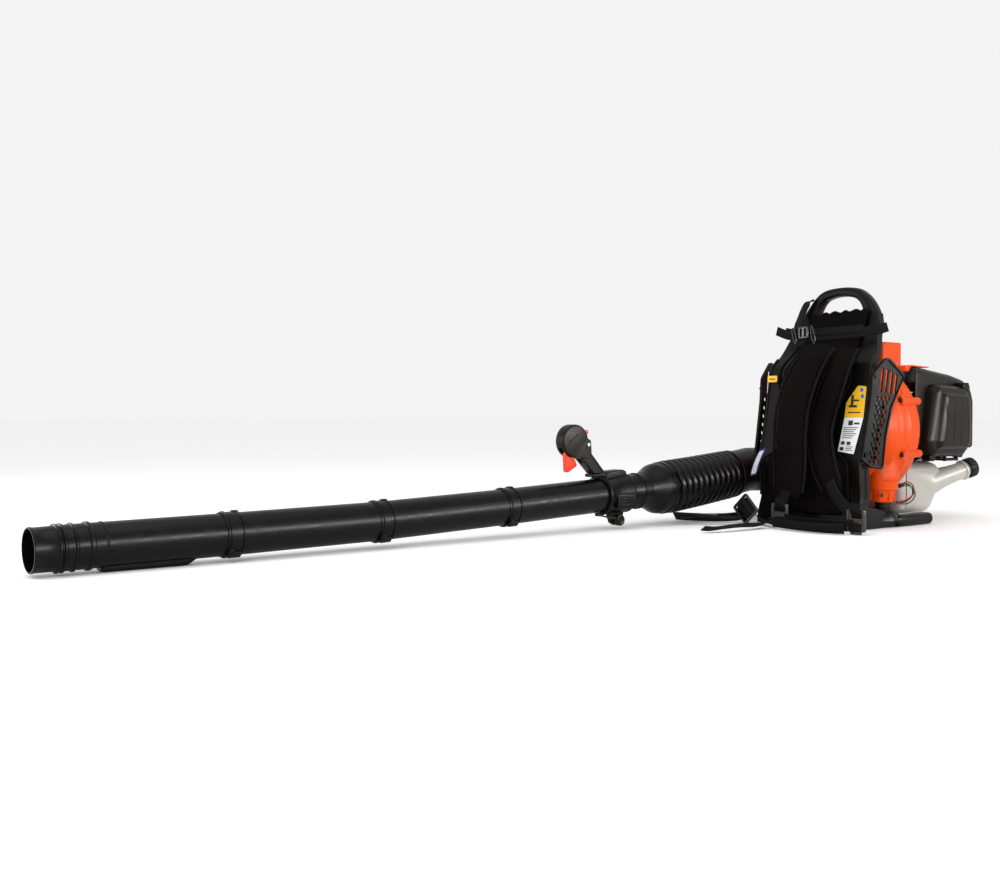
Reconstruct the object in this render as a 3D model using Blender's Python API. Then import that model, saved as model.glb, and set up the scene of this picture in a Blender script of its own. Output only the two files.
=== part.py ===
"""Petrol backpack leaf blower, as an assembly of separate pieces.

Metres, +Z up. The origin is on the ground under the fan axis, in the plane where the fan
housing splits. -Y is the wearer's forward, +Y the engine side. The blower pipe runs
forward on the -X side, beside the wearer's right hand.
"""

import math

import bmesh
import bpy
from mathutils import Matrix, Vector

# ---- driving dimensions --------------------------------------------------------------
GAP = 0.0005                  # clearance between pieces that touch
FAN_Z = 0.205                 # height of the fan and crank axis
FAN_R = 0.125                 # impeller radius
DRUM_R = 0.158                # outside radius of the fan housing
FRAME_HALF = 0.130            # half width of the backpack frame
FRAME_WALL = 0.005            # thickness of the frame's moulding
PIPE_X = -0.220               # the pipe's vertical plane
PIPE_R = 0.035                # outside radius of the blower pipe
PIPE_BORE = 0.0325            # its inside radius
OUTLET_Y, OUTLET_Z = 0.002, 0.110   # axis of the housing's air outlet, along X
OUTLET_X = -0.168             # face of the outlet
ENGINE_Y = 0.180              # cylinder axis
SHAFT_R = 0.008
BEND_GAP = 0.0065             # room each side of the hose's bend

# heights and depths of the frame's front face, from the ground up
FRONT_LINE = [(0.0, -0.127), (0.02, -0.127), (0.06, -0.112), (0.113, -0.116), (0.145, -0.118),
              (0.226, -0.099), (0.267, -0.092), (0.34, -0.080), (0.37, -0.054), (0.41, -0.034),
              (0.43, -0.020), (0.47, -0.012), (0.52, -0.012)]

# joints of the pipe, as (y, z) in the plane x = PIPE_X, from the hose to the tip
HOSE_START, HOSE_BEND, HOSE_END = (-0.125, 0.1000), (-0.2275, 0.0888), (-0.330, 0.0790)
PIPE_JOINTS = [HOSE_END, (-0.765, 0.0588), (-1.053, 0.0480), (-1.340, 0.0434), (-1.652, 0.0396)]


# ---- materials -----------------------------------------------------------------------
def material(name, rgb, roughness, metallic=0.0):
    finish = bpy.data.materials.new(name)
    finish.use_nodes = True
    shader = finish.node_tree.nodes["Principled BSDF"]
    shader.inputs["Base Color"].default_value = (*rgb, 1.0)
    shader.inputs["Roughness"].default_value = roughness
    shader.inputs["Metallic"].default_value = metallic
    return finish


# ---- mesh helpers --------------------------------------------------------------------
def remove_everything():
    for thing in list(bpy.data.objects):
        bpy.data.objects.remove(thing, do_unlink=True)


def new_object(name, bm, finish, sharp_degrees=35):
    bmesh.ops.recalc_face_normals(bm, faces=bm.faces)
    mesh = bpy.data.meshes.new(name)
    bm.to_mesh(mesh)
    bm.free()
    mesh.shade_smooth()
    mesh.set_sharp_from_angle(angle=math.radians(sharp_degrees))
    mesh.materials.append(finish)
    made = bpy.data.objects.new(name, mesh)
    bpy.context.collection.objects.link(made)
    return made


def loft(rings, loop=False):
    """Skin rings of equal length; the ends are capped unless the rings form a loop."""
    bm = bmesh.new()
    rows = [[bm.verts.new(point) for point in ring] for ring in rings]
    pairs = list(zip(rows, rows[1:]))
    if loop:
        pairs.append((rows[-1], rows[0]))
    count = len(rows[0])
    for low, high in pairs:
        for i in range(count):
            j = (i + 1) % count
            bm.faces.new((low[i], low[j], high[j], high[i]))
    if not loop:
        bm.faces.new(rows[0][::-1])
        bm.faces.new(rows[-1])
    return bm


def axes_for(direction):
    """Two unit vectors square to a direction, and the direction itself."""
    along = Vector(direction).normalized()
    helper = Vector((0, 0, 1)) if abs(along.z) < 0.9 else Vector((1, 0, 0))
    side = helper.cross(along).normalized()
    return side, along.cross(side), along


def circle(centre, direction, radius, segments):
    side, up, _ = axes_for(direction)
    turns = [2 * math.pi * i / segments for i in range(segments)]
    return [Vector(centre) + (side * math.cos(t) + up * math.sin(t)) * radius for t in turns]


def turned(stations, start, direction, segments=24):
    """A solid of revolution: stations are (distance along the axis, radius)."""
    _, _, along = axes_for(direction)
    return loft([circle(Vector(start) + along * s, direction, r, segments) for s, r in stations])


def turned_tube(outer, inner, start, direction, segments=24):
    """A hollow solid of revolution, from an outer and an inner list of (distance, radius)."""
    _, _, along = axes_for(direction)
    stations = outer + inner[::-1]
    rings = [circle(Vector(start) + along * s, direction, r, segments) for s, r in stations]
    return loft(rings, loop=True)


def rod(start, end, radius, segments=16):
    span = Vector(end) - Vector(start)
    return turned([(0, radius), (span.length, radius)], start, span, segments)


def prism(outline, plane, low, high):
    """Extrude an outline of two coordinates along the axis named by plane."""
    place = {"x": lambda a, b, c: Vector((c, a, b)),
             "y": lambda a, b, c: Vector((a, c, b)),
             "z": lambda a, b, c: Vector((a, b, c))}[plane]
    return loft([[place(a, b, c) for a, b in outline] for c in (low, high)])


def box(low, high):
    (x0, y0, z0), (x1, y1, z1) = low, high
    return prism([(x0, y0), (x1, y0), (x1, y1), (x0, y1)], "z", z0, z1)


def chamfered(y0, y1, z0, z1, corner):
    """A rectangle with cut corners, as an outline of eight points."""
    c = corner
    return [(y0 + c, z0), (y1 - c, z0), (y1, z0 + c), (y1, z1 - c),
            (y1 - c, z1), (y0 + c, z1), (y0, z1 - c), (y0, z0 + c)]


def combine(target, operation, bm):
    """Add or remove a shape with a Boolean; the tool stays as a wire guide."""
    tool = new_object(target.name + "_tool", bm, target.data.materials[0])
    tool.hide_render = True
    tool.display_type = "WIRE"
    modifier = target.modifiers.new(operation.title(), "BOOLEAN")
    modifier.operation = operation
    modifier.object = tool


def add(target, *shapes):
    for shape in shapes:
        combine(target, "UNION", shape)


def cut(target, *shapes):
    for shape in shapes:
        combine(target, "DIFFERENCE", shape)


def bevel(target, width, segments=1, degrees=50):
    modifier = target.modifiers.new("Bevel", "BEVEL")
    modifier.width = width
    modifier.segments = segments
    modifier.limit_method = "ANGLE"
    modifier.angle_limit = math.radians(degrees)


def smooth_route(points, steps):
    """Points on a Catmull-Rom curve through a route."""
    route = [Vector(p) for p in points]
    route = [2 * route[0] - route[1]] + route + [2 * route[-1] - route[-2]]
    made = []
    for a, b, c, d in zip(route, route[1:], route[2:], route[3:]):
        for i in range(steps):
            t = i / steps
            made.append(0.5 * (2 * b + (c - a) * t + (2 * a - 5 * b + 4 * c - d) * t ** 2
                               + (3 * b - a - 3 * c + d) * t ** 3))
    made.append(route[-2])
    return made


def cable(name, points, radius, finish, steps=4):
    curve = bpy.data.curves.new(name, "CURVE")
    curve.dimensions = "3D"
    curve.bevel_depth = radius
    curve.bevel_resolution = 2
    curve.use_fill_caps = True
    route = smooth_route(points, steps)
    spline = curve.splines.new("POLY")
    spline.points.add(len(route) - 1)
    for knot, place in zip(spline.points, route):
        knot.co = (*place, 1.0)
    curve.materials.append(finish)
    made = bpy.data.objects.new(name, curve)
    bpy.context.collection.objects.link(made)
    return made


def ribbon(points, width, thickness, across=(1, 0, 0)):
    """A flat strap along a route; across is the direction of its width."""
    centres = [Vector(p) for p in points]
    rings = []
    for i, centre in enumerate(centres):
        ahead = centres[min(i + 1, len(centres) - 1)] - centres[max(i - 1, 0)]
        wide = Vector(across)
        wide = (wide - ahead.normalized() * wide.dot(ahead.normalized())).normalized()
        thick = ahead.normalized().cross(wide).normalized()
        half, flat = wide * width / 2, thick * thickness / 2
        edge = half * 0.93
        rings.append([centre - half, centre - edge - flat, centre + edge - flat,
                      centre + half, centre + edge + flat, centre - edge + flat])
    return loft(rings)


def along_line(table, z):
    """Straight-line reading of a table of (z, value)."""
    for (z0, v0), (z1, v1) in zip(table, table[1:]):
        if z <= z1:
            return v0 + (v1 - v0) * (z - z0) / (z1 - z0)
    return table[-1][1]


def front_y(z):
    return along_line(FRONT_LINE, z)


def pipe_point(joint):
    return Vector((PIPE_X, joint[0], joint[1]))


# ---- backpack frame ------------------------------------------------------------------
def frame_half_width(z):
    return along_line([(0.0, FRAME_HALF), (0.34, FRAME_HALF), (0.43, 0.105), (0.46, 0.097)], z)


def make_backpack_frame(finish):
    """One moulding: channel-shaped back plate, hollow base with two rear feet, carry arch."""
    rings = []
    for z in (0.0, 0.02, 0.06, 0.113, 0.145, 0.226, 0.267, 0.34, 0.37, 0.41, 0.452):
        half = frame_half_width(z)
        front = front_y(z)
        depth = 0.030 if z < 0.14 else 0.022
        rings.append([Vector((x, front + y, z)) for x, y in (
            (-half, 0), (half, 0), (half, depth), (half - FRAME_WALL, depth),
            (half - FRAME_WALL, FRAME_WALL), (FRAME_WALL - half, FRAME_WALL),
            (FRAME_WALL - half, depth), (-half, depth))])
    frame = new_object("backpack_frame", loft(rings), finish)

    base_side = [(-0.115, 0), (0.044, 0), (0.056, 0.010), (0.056, 0.0235), (0.044, 0.0240),
                 (-0.05, 0.039), (-0.1145, 0.047)]
    add(frame, prism(base_side, "x", 0.0005 - FRAME_HALF, FRAME_HALF - 0.0005))
    for side in (-1, 1):
        foot = [(0.102, 0.02), (0.1375, 0.02), (0.1375, 0.138), (0.129, 0.153), (0.111, 0.153),
                (0.102, 0.142)]
        add(frame, prism([(side * x, y) for x, y in foot], "z", 0.0, 0.023))
        add(frame, rod((side * 0.110, -0.008, 0.020), (side * 0.110, -0.008, 0.0400), 0.019, 20))

    arch = [(0.089, 0.405, 0.020), (0.0825, 0.44, 0.0175), (0.0720, 0.466, 0.0145),
            (0.0560, 0.4875, 0.0115), (0.036, 0.5000, 0.0105), (0.0, 0.5050, 0.0100)]
    path = [(-x, z, t) for x, z, t in arch] + arch[-2::-1]
    rings = []
    for i, (x, z, half) in enumerate(path):
        ahead = path[min(i + 1, len(path) - 1)]
        behind = path[max(i - 1, 0)]
        along = Vector((ahead[0] - behind[0], 0, ahead[1] - behind[1])).normalized()
        out = Vector((-along.z, 0, along.x))
        centre = Vector((x, front_y(z) + 0.016, z))
        rings.append([centre + out * half * a + Vector((0, 0.015 * b, 0)) for a, b in (
            (-1, -0.5), (-0.6, -1), (0.6, -1), (1, -0.5), (1, 0.5), (0.6, 1), (-0.6, 1), (-1, 0.5))])
    add(frame, loft(rings))

    # pockets under the base leave a rim and a cross of ribs
    for x0, x1 in ((-0.122, -0.008), (0.008, 0.122)):
        for y0, y1 in ((-0.106, -0.040), (-0.032, 0.038)):
            cut(frame, box((x0, y0, -0.01), (x1, y1, 0.017)))
    return frame


def grille_x(y):
    """The grilles lean out towards the rear, clear of the fan housing."""
    return 0.1345 + 0.186 * (y + 0.12)


def make_grille(name, side, finish):
    outline = [(-0.1246, 0.145), (-0.098, 0.128), (-0.0670, 0.1245), (-0.0590, 0.189),
               (-0.0410, 0.256), (-0.0070, 0.320), (-0.0560, 0.358), (-0.0970, 0.318),
               (-0.101, 0.267)]
    thick = 0.003

    def sheet(points, inner, outer):
        return loft([[Vector((side * (grille_x(y) + shift), y, z)) for y, z in points]
                     for shift in (inner, outer)])

    grille = new_object(name, sheet(outline, 0, thick), finish)
    # hexagonal holes in staggered rows, kept inside the outline's margin
    pitch, hole = 0.0175, 0.0072
    holes = bmesh.new()
    for row in range(12):
        z = 0.143 + row * pitch * math.sqrt(3) / 2
        front = along_line([(0.12, -0.112), (0.145, -0.111), (0.267, -0.087), (0.31, -0.082)], z)
        rear = along_line([(0.12, -0.077), (0.189, -0.069), (0.256, -0.051), (0.32, -0.022)], z)
        for column in range(6):
            y = front + 0.003 + (column + 0.5 * (row % 2)) * pitch
            if y > rear - 0.001:
                break
            turns = [math.pi / 3 * i + math.pi / 6 for i in range(6)]
            points = [(y + hole * math.cos(t), z + hole * math.sin(t)) for t in turns]
            part = sheet(points, -0.01, thick + 0.01)
            mesh = bpy.data.meshes.new("hole")
            part.to_mesh(mesh)
            part.free()
            holes.from_mesh(mesh)
            bpy.data.meshes.remove(mesh)
    cut(grille, holes)
    for y, z in ((-0.0900, 0.3150), (-0.106, 0.1445)):
        x = grille_x(y)
        add(grille, rod((side * (x + 0.001), y, z), (side * (x + 0.0055), y, z), 0.0045, 12))
    return grille


# ---- fan housing and fan -------------------------------------------------------------
def make_volute_half(name, front, finish):
    """The scroll housing split in two across the fan axis; front is the intake side."""
    outer = [(-0.066, 0.118), (-0.060, 0.131), (-0.035, 0.147), (-0.010, 0.156), (0.0, DRUM_R),
             (0.050, DRUM_R), (0.064, 0.152), (0.0715, 0.140)]
    inner = [(y * 0.955, r - 0.0035) for y, r in outer]
    centre = (0, 0, FAN_Z)
    half = new_object(name, turned(outer, centre, (0, 1, 0), 36), finish)
    outlet = (0, OUTLET_Y, OUTLET_Z)
    add(half, turned([(0.06, 0.054), (0.158, 0.054), (0.158, 0.0575), (-OUTLET_X, 0.0575)],
                     outlet, (-1, 0, 0), 24))
    for side in (-1, 1):
        foot = chamfered(-0.045, 0.028, 0.053, 0.145, 0.010)
        add(half, prism(foot, "x", min(side * 0.080, side * 0.140), max(side * 0.080, side * 0.140)))
    if not front:
        add(half, prism(chamfered(0.004, 0.071, 0.300, 0.392, 0.003), "x", 0.030, 0.101))
        tongue = [(0.060, 0.335), (0.060, 0.3500), (0.078, 0.3500), (0.150, 0.3420),
                  (0.150, 0.3390), (0.078, 0.3475), (0.070, 0.3475)]
        add(half, prism(tongue, "x", 0.036, 0.118))
        for degrees in (23, -19, 128, -128):
            turn = math.radians(degrees)
            x, z = 0.157 * math.cos(turn), FAN_Z + 0.157 * math.sin(turn)
            add(half, rod((x, 0.016, z), (x, 0.0700, z), 0.0085, 12))
    cut(half, turned(inner, centre, (0, 1, 0), 36))
    cut(half, turned([(0.03, 0.0512), (0.18, 0.0512)], outlet, (-1, 0, 0), 24))
    if front:
        cut(half, turned([(-0.09, 0.078), (-0.05, 0.078)], centre, (0, 1, 0), 24))
        cut(half, box((-0.3, -0.0002, -0.1), (0.3, 0.3, 0.6)))
    else:
        cut(half, turned([(0.05, 0.030), (0.09, 0.030)], centre, (0, 1, 0), 24))
        cut(half, prism(chamfered(0.007, 0.068, 0.290, 0.389, 0.002), "x", 0.033, 0.098))
        cut(half, box((-0.3, -0.3, -0.1), (0.3, 0.0002, 0.6)))
    return half


def make_inlet_guard(finish):
    ring = [(0.0, 0.0770), (0.004, 0.0770)]
    guard = new_object("fan_inlet_guard", turned_tube(
        ring, [(0.0, 0.0720), (0.004, 0.0720)], (0, -0.0650, FAN_Z), (0, 1, 0), 20), finish)
    add(guard, turned([(0.0005, 0.014), (0.0035, 0.014)], (0, -0.0650, FAN_Z), (0, 1, 0), 10))
    for i in range(3):
        turn = math.pi * i / 3
        x, z = 0.074 * math.cos(turn), 0.074 * math.sin(turn)
        add(guard, rod((-x, -0.0630, FAN_Z - z), (x, -0.0630, FAN_Z + z), 0.0014, 6))
    return guard


def make_impeller(finish):
    """Backward-curved blades on a disc, with a bored hub."""
    outer = [(-0.004, 0.021), (0.045, 0.021), (0.045, FAN_R), (0.049, FAN_R)]
    bore = [(-0.004, SHAFT_R + GAP), (0.049, SHAFT_R + GAP)]
    impeller = new_object("impeller", turned_tube(outer, bore, (0, 0, FAN_Z), (0, 1, 0), 24), finish)
    blades = bmesh.new()
    count = 10
    for blade in range(count):
        turn = 2 * math.pi * blade / count
        edges = ([], [])
        for step in range(4):
            radius = 0.050 + 0.072 * step / 3
            angle = turn - 0.55 * (step / 3) ** 1.2
            for edge, shift in zip(edges, (-0.0013, 0.0013)):
                edge.append((radius * math.cos(angle) - shift * math.sin(angle),
                             FAN_Z + radius * math.sin(angle) + shift * math.cos(angle)))
        part = prism(edges[0] + edges[1][::-1], "y", -0.022, 0.047)
        mesh = bpy.data.meshes.new("blade")
        part.to_mesh(mesh)
        part.free()
        blades.from_mesh(mesh)
        bpy.data.meshes.remove(mesh)
    add(impeller, blades)
    return impeller


# ---- engine --------------------------------------------------------------------------
def make_crankshaft(finish):
    start = (0, -0.014, FAN_Z)
    shaft = new_object("crankshaft", turned(
        [(0, SHAFT_R), (0.178, SHAFT_R)], start, (0, 1, 0), 12), finish)
    throw = FAN_Z + 0.015
    add(shaft, rod((0, 0.160, FAN_Z), (0, 0.171, FAN_Z), 0.027, 16),
        rod((0, 0.169, throw), (0, 0.191, throw), 0.007, 8),
        rod((0, 0.189, FAN_Z), (0, 0.200, FAN_Z), 0.027, 16),
        rod((0, 0.198, FAN_Z), (0, 0.272, FAN_Z), SHAFT_R, 12))
    return shaft


def make_engine_core(metal, dark_metal, plastic):
    centre = (0, 0, FAN_Z)
    bore = SHAFT_R + GAP
    fan_nut = turned_tube([(-0.0115, 0.0150), (-0.0050, 0.0150)],
                          [(-0.0115, 0.0098), (-0.0050, 0.0098)], centre, (0, 1, 0), 6)
    new_object("fan_nut", fan_nut, metal)
    wheel = [(0.084, 0.020), (0.092, 0.020), (0.092, 0.062), (0.114, 0.062), (0.114, 0.020),
             (0.120, 0.020)]
    new_object("flywheel", turned_tube(wheel, [(0.084, bore), (0.120, bore)], centre,
                                       (0, 1, 0), 20), metal)

    case = new_object("crankcase", box((-0.048, 0.138, 0.155), (0.048, 0.222, 0.2470)), dark_metal)
    bevel(case, 0.008)
    cut(case, box((-0.031, 0.150, 0.172), (0.031, 0.210, 0.300)),
        rod((0, 0.10, FAN_Z), (0, 0.26, FAN_Z), 0.0095))

    fins = [(0.0, 0.034), (0.006, 0.034)]
    for i in range(3):
        foot = 0.006 + 0.0165 * i
        fins += [(foot, 0.029), (foot + 0.0125, 0.029), (foot + 0.0125, 0.041), (foot + 0.0165, 0.041)]
    cylinder = new_object("cylinder", turned(fins + [(0.058, 0.022)], (0, ENGINE_Y, 0.2475),
                                             (0, 0, 1), 16), metal)
    add(cylinder, rod((0.025, ENGINE_Y, 0.266), (0.0410, ENGINE_Y, 0.266), 0.0142, 16))
    cut(cylinder, rod((0, ENGINE_Y, 0.20), (0, ENGINE_Y, 0.2965), 0.022, 16),
        rod((0, ENGINE_Y, 0.29), (0, ENGINE_Y, 0.33), 0.0056, 12),
        rod((0.010, ENGINE_Y, 0.266), (0.06, ENGINE_Y, 0.266), 0.0090, 16))

    piston = new_object("piston", rod((0, ENGINE_Y, 0.258), (0, ENGINE_Y, 0.284), 0.0213, 20), metal)
    cut(piston, rod((0, ENGINE_Y, 0.25), (0, ENGINE_Y, 0.278), 0.0180, 16))

    plug = [(0, 0.0050), (0.009, 0.0050), (0.009, 0.0080), (0.0125, 0.0080), (0.0125, 0.0036),
            (0.0180, 0.0030)]
    new_object("spark_plug", turned(plug, (0, ENGINE_Y, 0.2968), (0, 0, 1), 12), metal)
    boot = new_object("spark_plug_boot", rod((0, ENGINE_Y, 0.3105), (0, ENGINE_Y, 0.3240), 0.0080, 12),
                      plastic)
    cut(boot, rod((0, ENGINE_Y, 0.30), (0, ENGINE_Y, 0.3170), 0.0042, 12))

    new_object("ignition_coil", box((-0.040, 0.088, 0.2730), (-0.002, 0.110, 0.2980)), plastic)
    cable("spark_plug_lead", [(-0.0086, ENGINE_Y, 0.3175), (-0.024, 0.174, 0.3175),
                              (-0.040, 0.152, 0.312), (-0.038, 0.134, 0.298),
                              (-0.032, 0.122, 0.289), (-0.028, 0.1125, 0.2870)], 0.0032, plastic, 3)


def make_muffler(finish):
    muffler = new_object("muffler", box((-0.112, 0.140, 0.240), (-0.0485, 0.220, 0.308)), finish)
    bevel(muffler, 0.004)
    add(muffler, rod((-0.116, 0.180, 0.265), (-0.105, 0.180, 0.265), 0.011))
    cut(muffler, box((-0.109, 0.143, 0.243), (-0.0515, 0.217, 0.305)),
        rod((-0.13, 0.180, 0.265), (-0.10, 0.180, 0.265), 0.009))
    return muffler


def make_fuel_system(metal, plastic, rubber):
    """Intake, carburettor with its levers and primer, in line with the inlet port."""
    port = 0.266
    new_object("intake_manifold", turned_tube(
        [(0, 0.0185), (0.003, 0.0185), (0.003, 0.0145), (0.010, 0.0145)],
        [(0, 0.009), (0.010, 0.009)], (0.0415, ENGINE_Y, port), (1, 0, 0), 16), rubber)
    carb = new_object("carburettor", box((0.0520, 0.160, 0.246), (0.0915, 0.200, 0.286)), metal)
    bevel(carb, 0.003)
    cut(carb, rod((0.04, ENGINE_Y, port), (0.11, ENGINE_Y, port), 0.009),
        rod((0.072, ENGINE_Y, 0.24), (0.072, ENGINE_Y, 0.254), 0.0042, 12))
    pivot_z = 0.278
    throttle = new_object("carb_throttle_lever", rod((0.072, 0.1595, pivot_z), (0.072, 0.1555, pivot_z),
                                                     0.0055, 12), metal)
    add(throttle, box((0.0695, 0.1558, 0.2520), (0.0745, 0.1592, 0.276)))
    choke = new_object("choke_lever", rod((0.082, 0.2005, 0.268), (0.082, 0.2055, 0.268), 0.0055, 12),
                       plastic)
    add(choke, box((0.0795, 0.2010, 0.2280), (0.0845, 0.2050, 0.266)),
        box((0.0760, 0.2008, 0.2200), (0.0880, 0.2120, 0.2300)))
    # the bulb's stem stops short of its socket's end, to leave room for the press
    dome = [(0.0025, 0.0038), (0.0105, 0.0038), (0.0105, 0.0110), (0.0125, 0.0120), (0.0185, 0.0095),
            (0.0215, 0.0050)]
    new_object("primer_bulb", turned(dome, (0.072, ENGINE_Y, 0.2520), (0, 0, -1), 16), rubber)


LATCH_X, LATCH_Z = 0.138, 0.1385    # hinge line of the cover's latch


def make_air_filter(plastic, foam):
    """Base plate, element and bulged cover on the +X side, latched below."""
    rim = chamfered(0.108, 0.270, 0.144, 0.304, 0.020)
    base = new_object("air_filter_base", prism(rim, "x", 0.0920, 0.0980), plastic)
    cut(base, rod((0.08, ENGINE_Y, 0.266), (0.11, ENGINE_Y, 0.266), 0.009))
    new_object("air_filter_element", prism(chamfered(0.122, 0.256, 0.158, 0.290, 0.016),
                                           "x", 0.0990, 0.1260), foam)

    def step(x, inset, corner=0.020):
        outline = chamfered(0.108 + inset, 0.270 - inset, 0.144 + inset, 0.304 - inset, corner)
        return [Vector((x, y, z)) for y, z in outline]

    cover = new_object("air_filter_cover", loft(
        [step(0.0985, 0), step(0.147, 0.001), step(0.153, 0.006), step(0.153, 0.014),
         step(0.162, 0.018), step(0.165, 0.026)]), plastic)
    cut(cover, loft([step(0.090, 0.0035), step(0.146, 0.0045), step(0.150, 0.016),
                     step(0.160, 0.022)]))
    for y in (0.1790, 0.2255):
        add(cover, prism(chamfered(LATCH_X - 0.005, LATCH_X + 0.004, LATCH_Z - 0.004, 0.1475, 0.002),
                         "y", y, y + 0.0055))
    return cover


def make_filter_latch(finish):
    """A clip between two lugs on the cover's lower edge, closing under the base."""
    x, z = LATCH_X, LATCH_Z
    latch = new_object("filter_cover_latch", rod((x, 0.185, z), (x, 0.225, z), 0.0035, 12), finish)
    add(latch, box((0.100, 0.188, z - 0.0033), (x, 0.222, z)))
    return latch


# the engine cover's roof, front to rear, as (y, z)
HOOD_TOP = [(0.078, 0.342), (0.125, 0.338), (0.232, 0.326), (0.282, 0.316), (0.314, 0.296),
            (0.325, 0.268)]


def make_engine_cover(finish):
    side = [(0.0735, 0.160), (0.0735, 0.3425)] + HOOD_TOP[1:] + [(0.325, 0.160)]
    hood = new_object("engine_cover", prism(side, "x", -0.128, 0.128), finish)
    bevel(hood, 0.009, 2, 60)
    inside = [(0.05, 0.10), (0.05, 0.3392), (0.0785, 0.3388), (0.1245, 0.3349), (0.2313, 0.3229),
              (0.2805, 0.3132), (0.3115, 0.2938), (0.3219, 0.2672), (0.3219, 0.10)]
    cut(hood, prism(inside, "x", -0.1245, 0.1245),
        rod((0, 0.235, FAN_Z), (0, 0.36, FAN_Z), 0.0830, 24),
        prism(chamfered(0.1050, 0.2730, 0.120, 0.3070, 0.018), "x", 0.10, 0.15),
        rod((-0.14, 0.180, 0.265), (-0.11, 0.180, 0.265), 0.0150),
        box((-0.14, 0.10, 0.185), (-0.12, 0.28, 0.215)),
        box((-0.14, 0.2570, FAN_Z + 0.027), (-0.12, 0.3130, FAN_Z + 0.053)),
        box((-0.14, 0.050, 0.150), (0.14, 0.085, 0.330)))
    return hood


def make_starter(plastic, rubber):
    centre = (0, 0, FAN_Z)
    shell = [(0.2400, 0.080), (0.322, 0.080), (0.333, 0.068)]
    housing = new_object("starter_housing", turned(shell, centre, (0, 1, 0), 24), plastic)
    cut(housing, turned([(0.22, 0.077), (0.320, 0.077), (0.330, 0.066)], centre, (0, 1, 0), 24),
        rod((-0.10, 0.285, FAN_Z + 0.040), (-0.05, 0.285, FAN_Z + 0.040), 0.0032, 10))
    for i in range(4):
        turn = math.pi / 4 + math.pi / 2 * i
        along = Vector((math.cos(turn), 0, math.sin(turn)))
        across = Vector((-along.z, 0, along.x)) * 0.0045
        near, far = along * 0.030 + Vector((0, 0, FAN_Z)), along * 0.056 + Vector((0, 0, FAN_Z))
        ring = [near - across, far - across, far + across, near + across]
        cut(housing, loft([[p + Vector((0, y, 0)) for p in ring] for y in (0.31, 0.35)]))
    reel = [(0.276, 0.038), (0.279, 0.038), (0.281, 0.033), (0.289, 0.033), (0.291, 0.038),
            (0.294, 0.038)]
    new_object("starter_pulley", turned(reel, centre, (0, 1, 0), 16), plastic)
    grip = new_object("starter_handle", prism(chamfered(0.262, 0.308, FAN_Z + 0.031, FAN_Z + 0.049,
                                                        0.006), "x", -0.1040, -0.0860), rubber)
    add(grip, rod((-0.090, 0.285, FAN_Z + 0.040), (0.020, 0.285, FAN_Z + 0.040), 0.0018, 8))
    return housing


def make_tank(tank_plastic, plastic, rubber):
    side = [(0.080, 0.026), (0.086, 0.020), (0.186, 0.018), (0.200, 0.026), (0.243, 0.074),
            (0.247, 0.098), (0.236, 0.122), (0.218, 0.132), (0.088, 0.132), (0.080, 0.125)]
    tank = new_object("fuel_tank", prism(side, "x", -0.098, 0.098), tank_plastic)
    bevel(tank, 0.008, 2, 60)
    neck, mouth = Vector((0.070, 0.205, 0.080)), Vector((0.1170, 0.3180, 0.1155))
    along = (mouth - neck).normalized()
    add(tank, turned([(0, 0.0200), (0.060, 0.0190), (0.062, 0.0165), ((mouth - neck).length, 0.0165)],
                     neck, along, 20))
    inside = [(0.083, 0.028), (0.088, 0.023), (0.185, 0.021), (0.198, 0.028), (0.240, 0.076),
              (0.244, 0.098), (0.234, 0.120), (0.216, 0.129), (0.090, 0.129), (0.083, 0.123)]
    cut(tank, prism(inside, "x", -0.0945, 0.0945),
        rod(neck + along * 0.01, mouth + along * 0.02, 0.0135, 16))
    cap = new_object("fuel_cap", turned([(0.004, 0.0225), (0.022, 0.0225), (0.025, 0.0195)],
                                        mouth - along * 0.012, along, 24), plastic)
    cut(cap, turned([(-0.01, 0.0172), (0.0125, 0.0172)], mouth - along * 0.012, along, 20))
    cable("fuel_line", [(0.060, 0.150, 0.1325), (0.060, 0.152, 0.160), (0.066, 0.162, 0.200),
                        (0.060, 0.168, 0.228), (0.0590, 0.170, 0.2455)], 0.0025, rubber, 3)


# ---- hose, pipe and nozzle -----------------------------------------------------------
def bent_tube(centres, directions, outer, inner, segments=24):
    """A hollow tube through ring centres, each square to its own direction."""
    rings = [circle(c, d, outer, segments) for c, d in zip(centres, directions)]
    rings += [circle(c, d, inner, segments) for c, d in zip(centres, directions)][::-1]
    return loft(rings, loop=True)


def make_elbow(finish):
    """Swivels in the housing's outlet and turns the air forward."""
    turn_r = 0.052
    hub = Vector((OUTLET_X - 0.001, OUTLET_Y - turn_r, OUTLET_Z))
    centres = [Vector((OUTLET_X + 0.010, OUTLET_Y, OUTLET_Z))]
    directions = [Vector((-1, 0, 0))]
    for i in range(6):
        t = math.pi / 2 * i / 5
        centres.append(hub + Vector((-math.sin(t), math.cos(t), 0)) * turn_r)
        directions.append(Vector((-math.cos(t), -math.sin(t), 0)))
    hose = (pipe_point(HOSE_BEND) - pipe_point(HOSE_START)).normalized()
    centres.append(pipe_point(HOSE_START) - hose * 0.0005)
    directions.append(hose)
    elbow = new_object("swivel_elbow", bent_tube(centres, directions, 0.0500, 0.0465, 20), finish)
    add(elbow, turned_tube([(0.0015, 0.0560), (0.007, 0.0560)], [(0.0015, 0.0480), (0.007, 0.0480)],
                           (OUTLET_X, OUTLET_Y, OUTLET_Z), (-1, 0, 0), 20))
    return elbow


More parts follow.
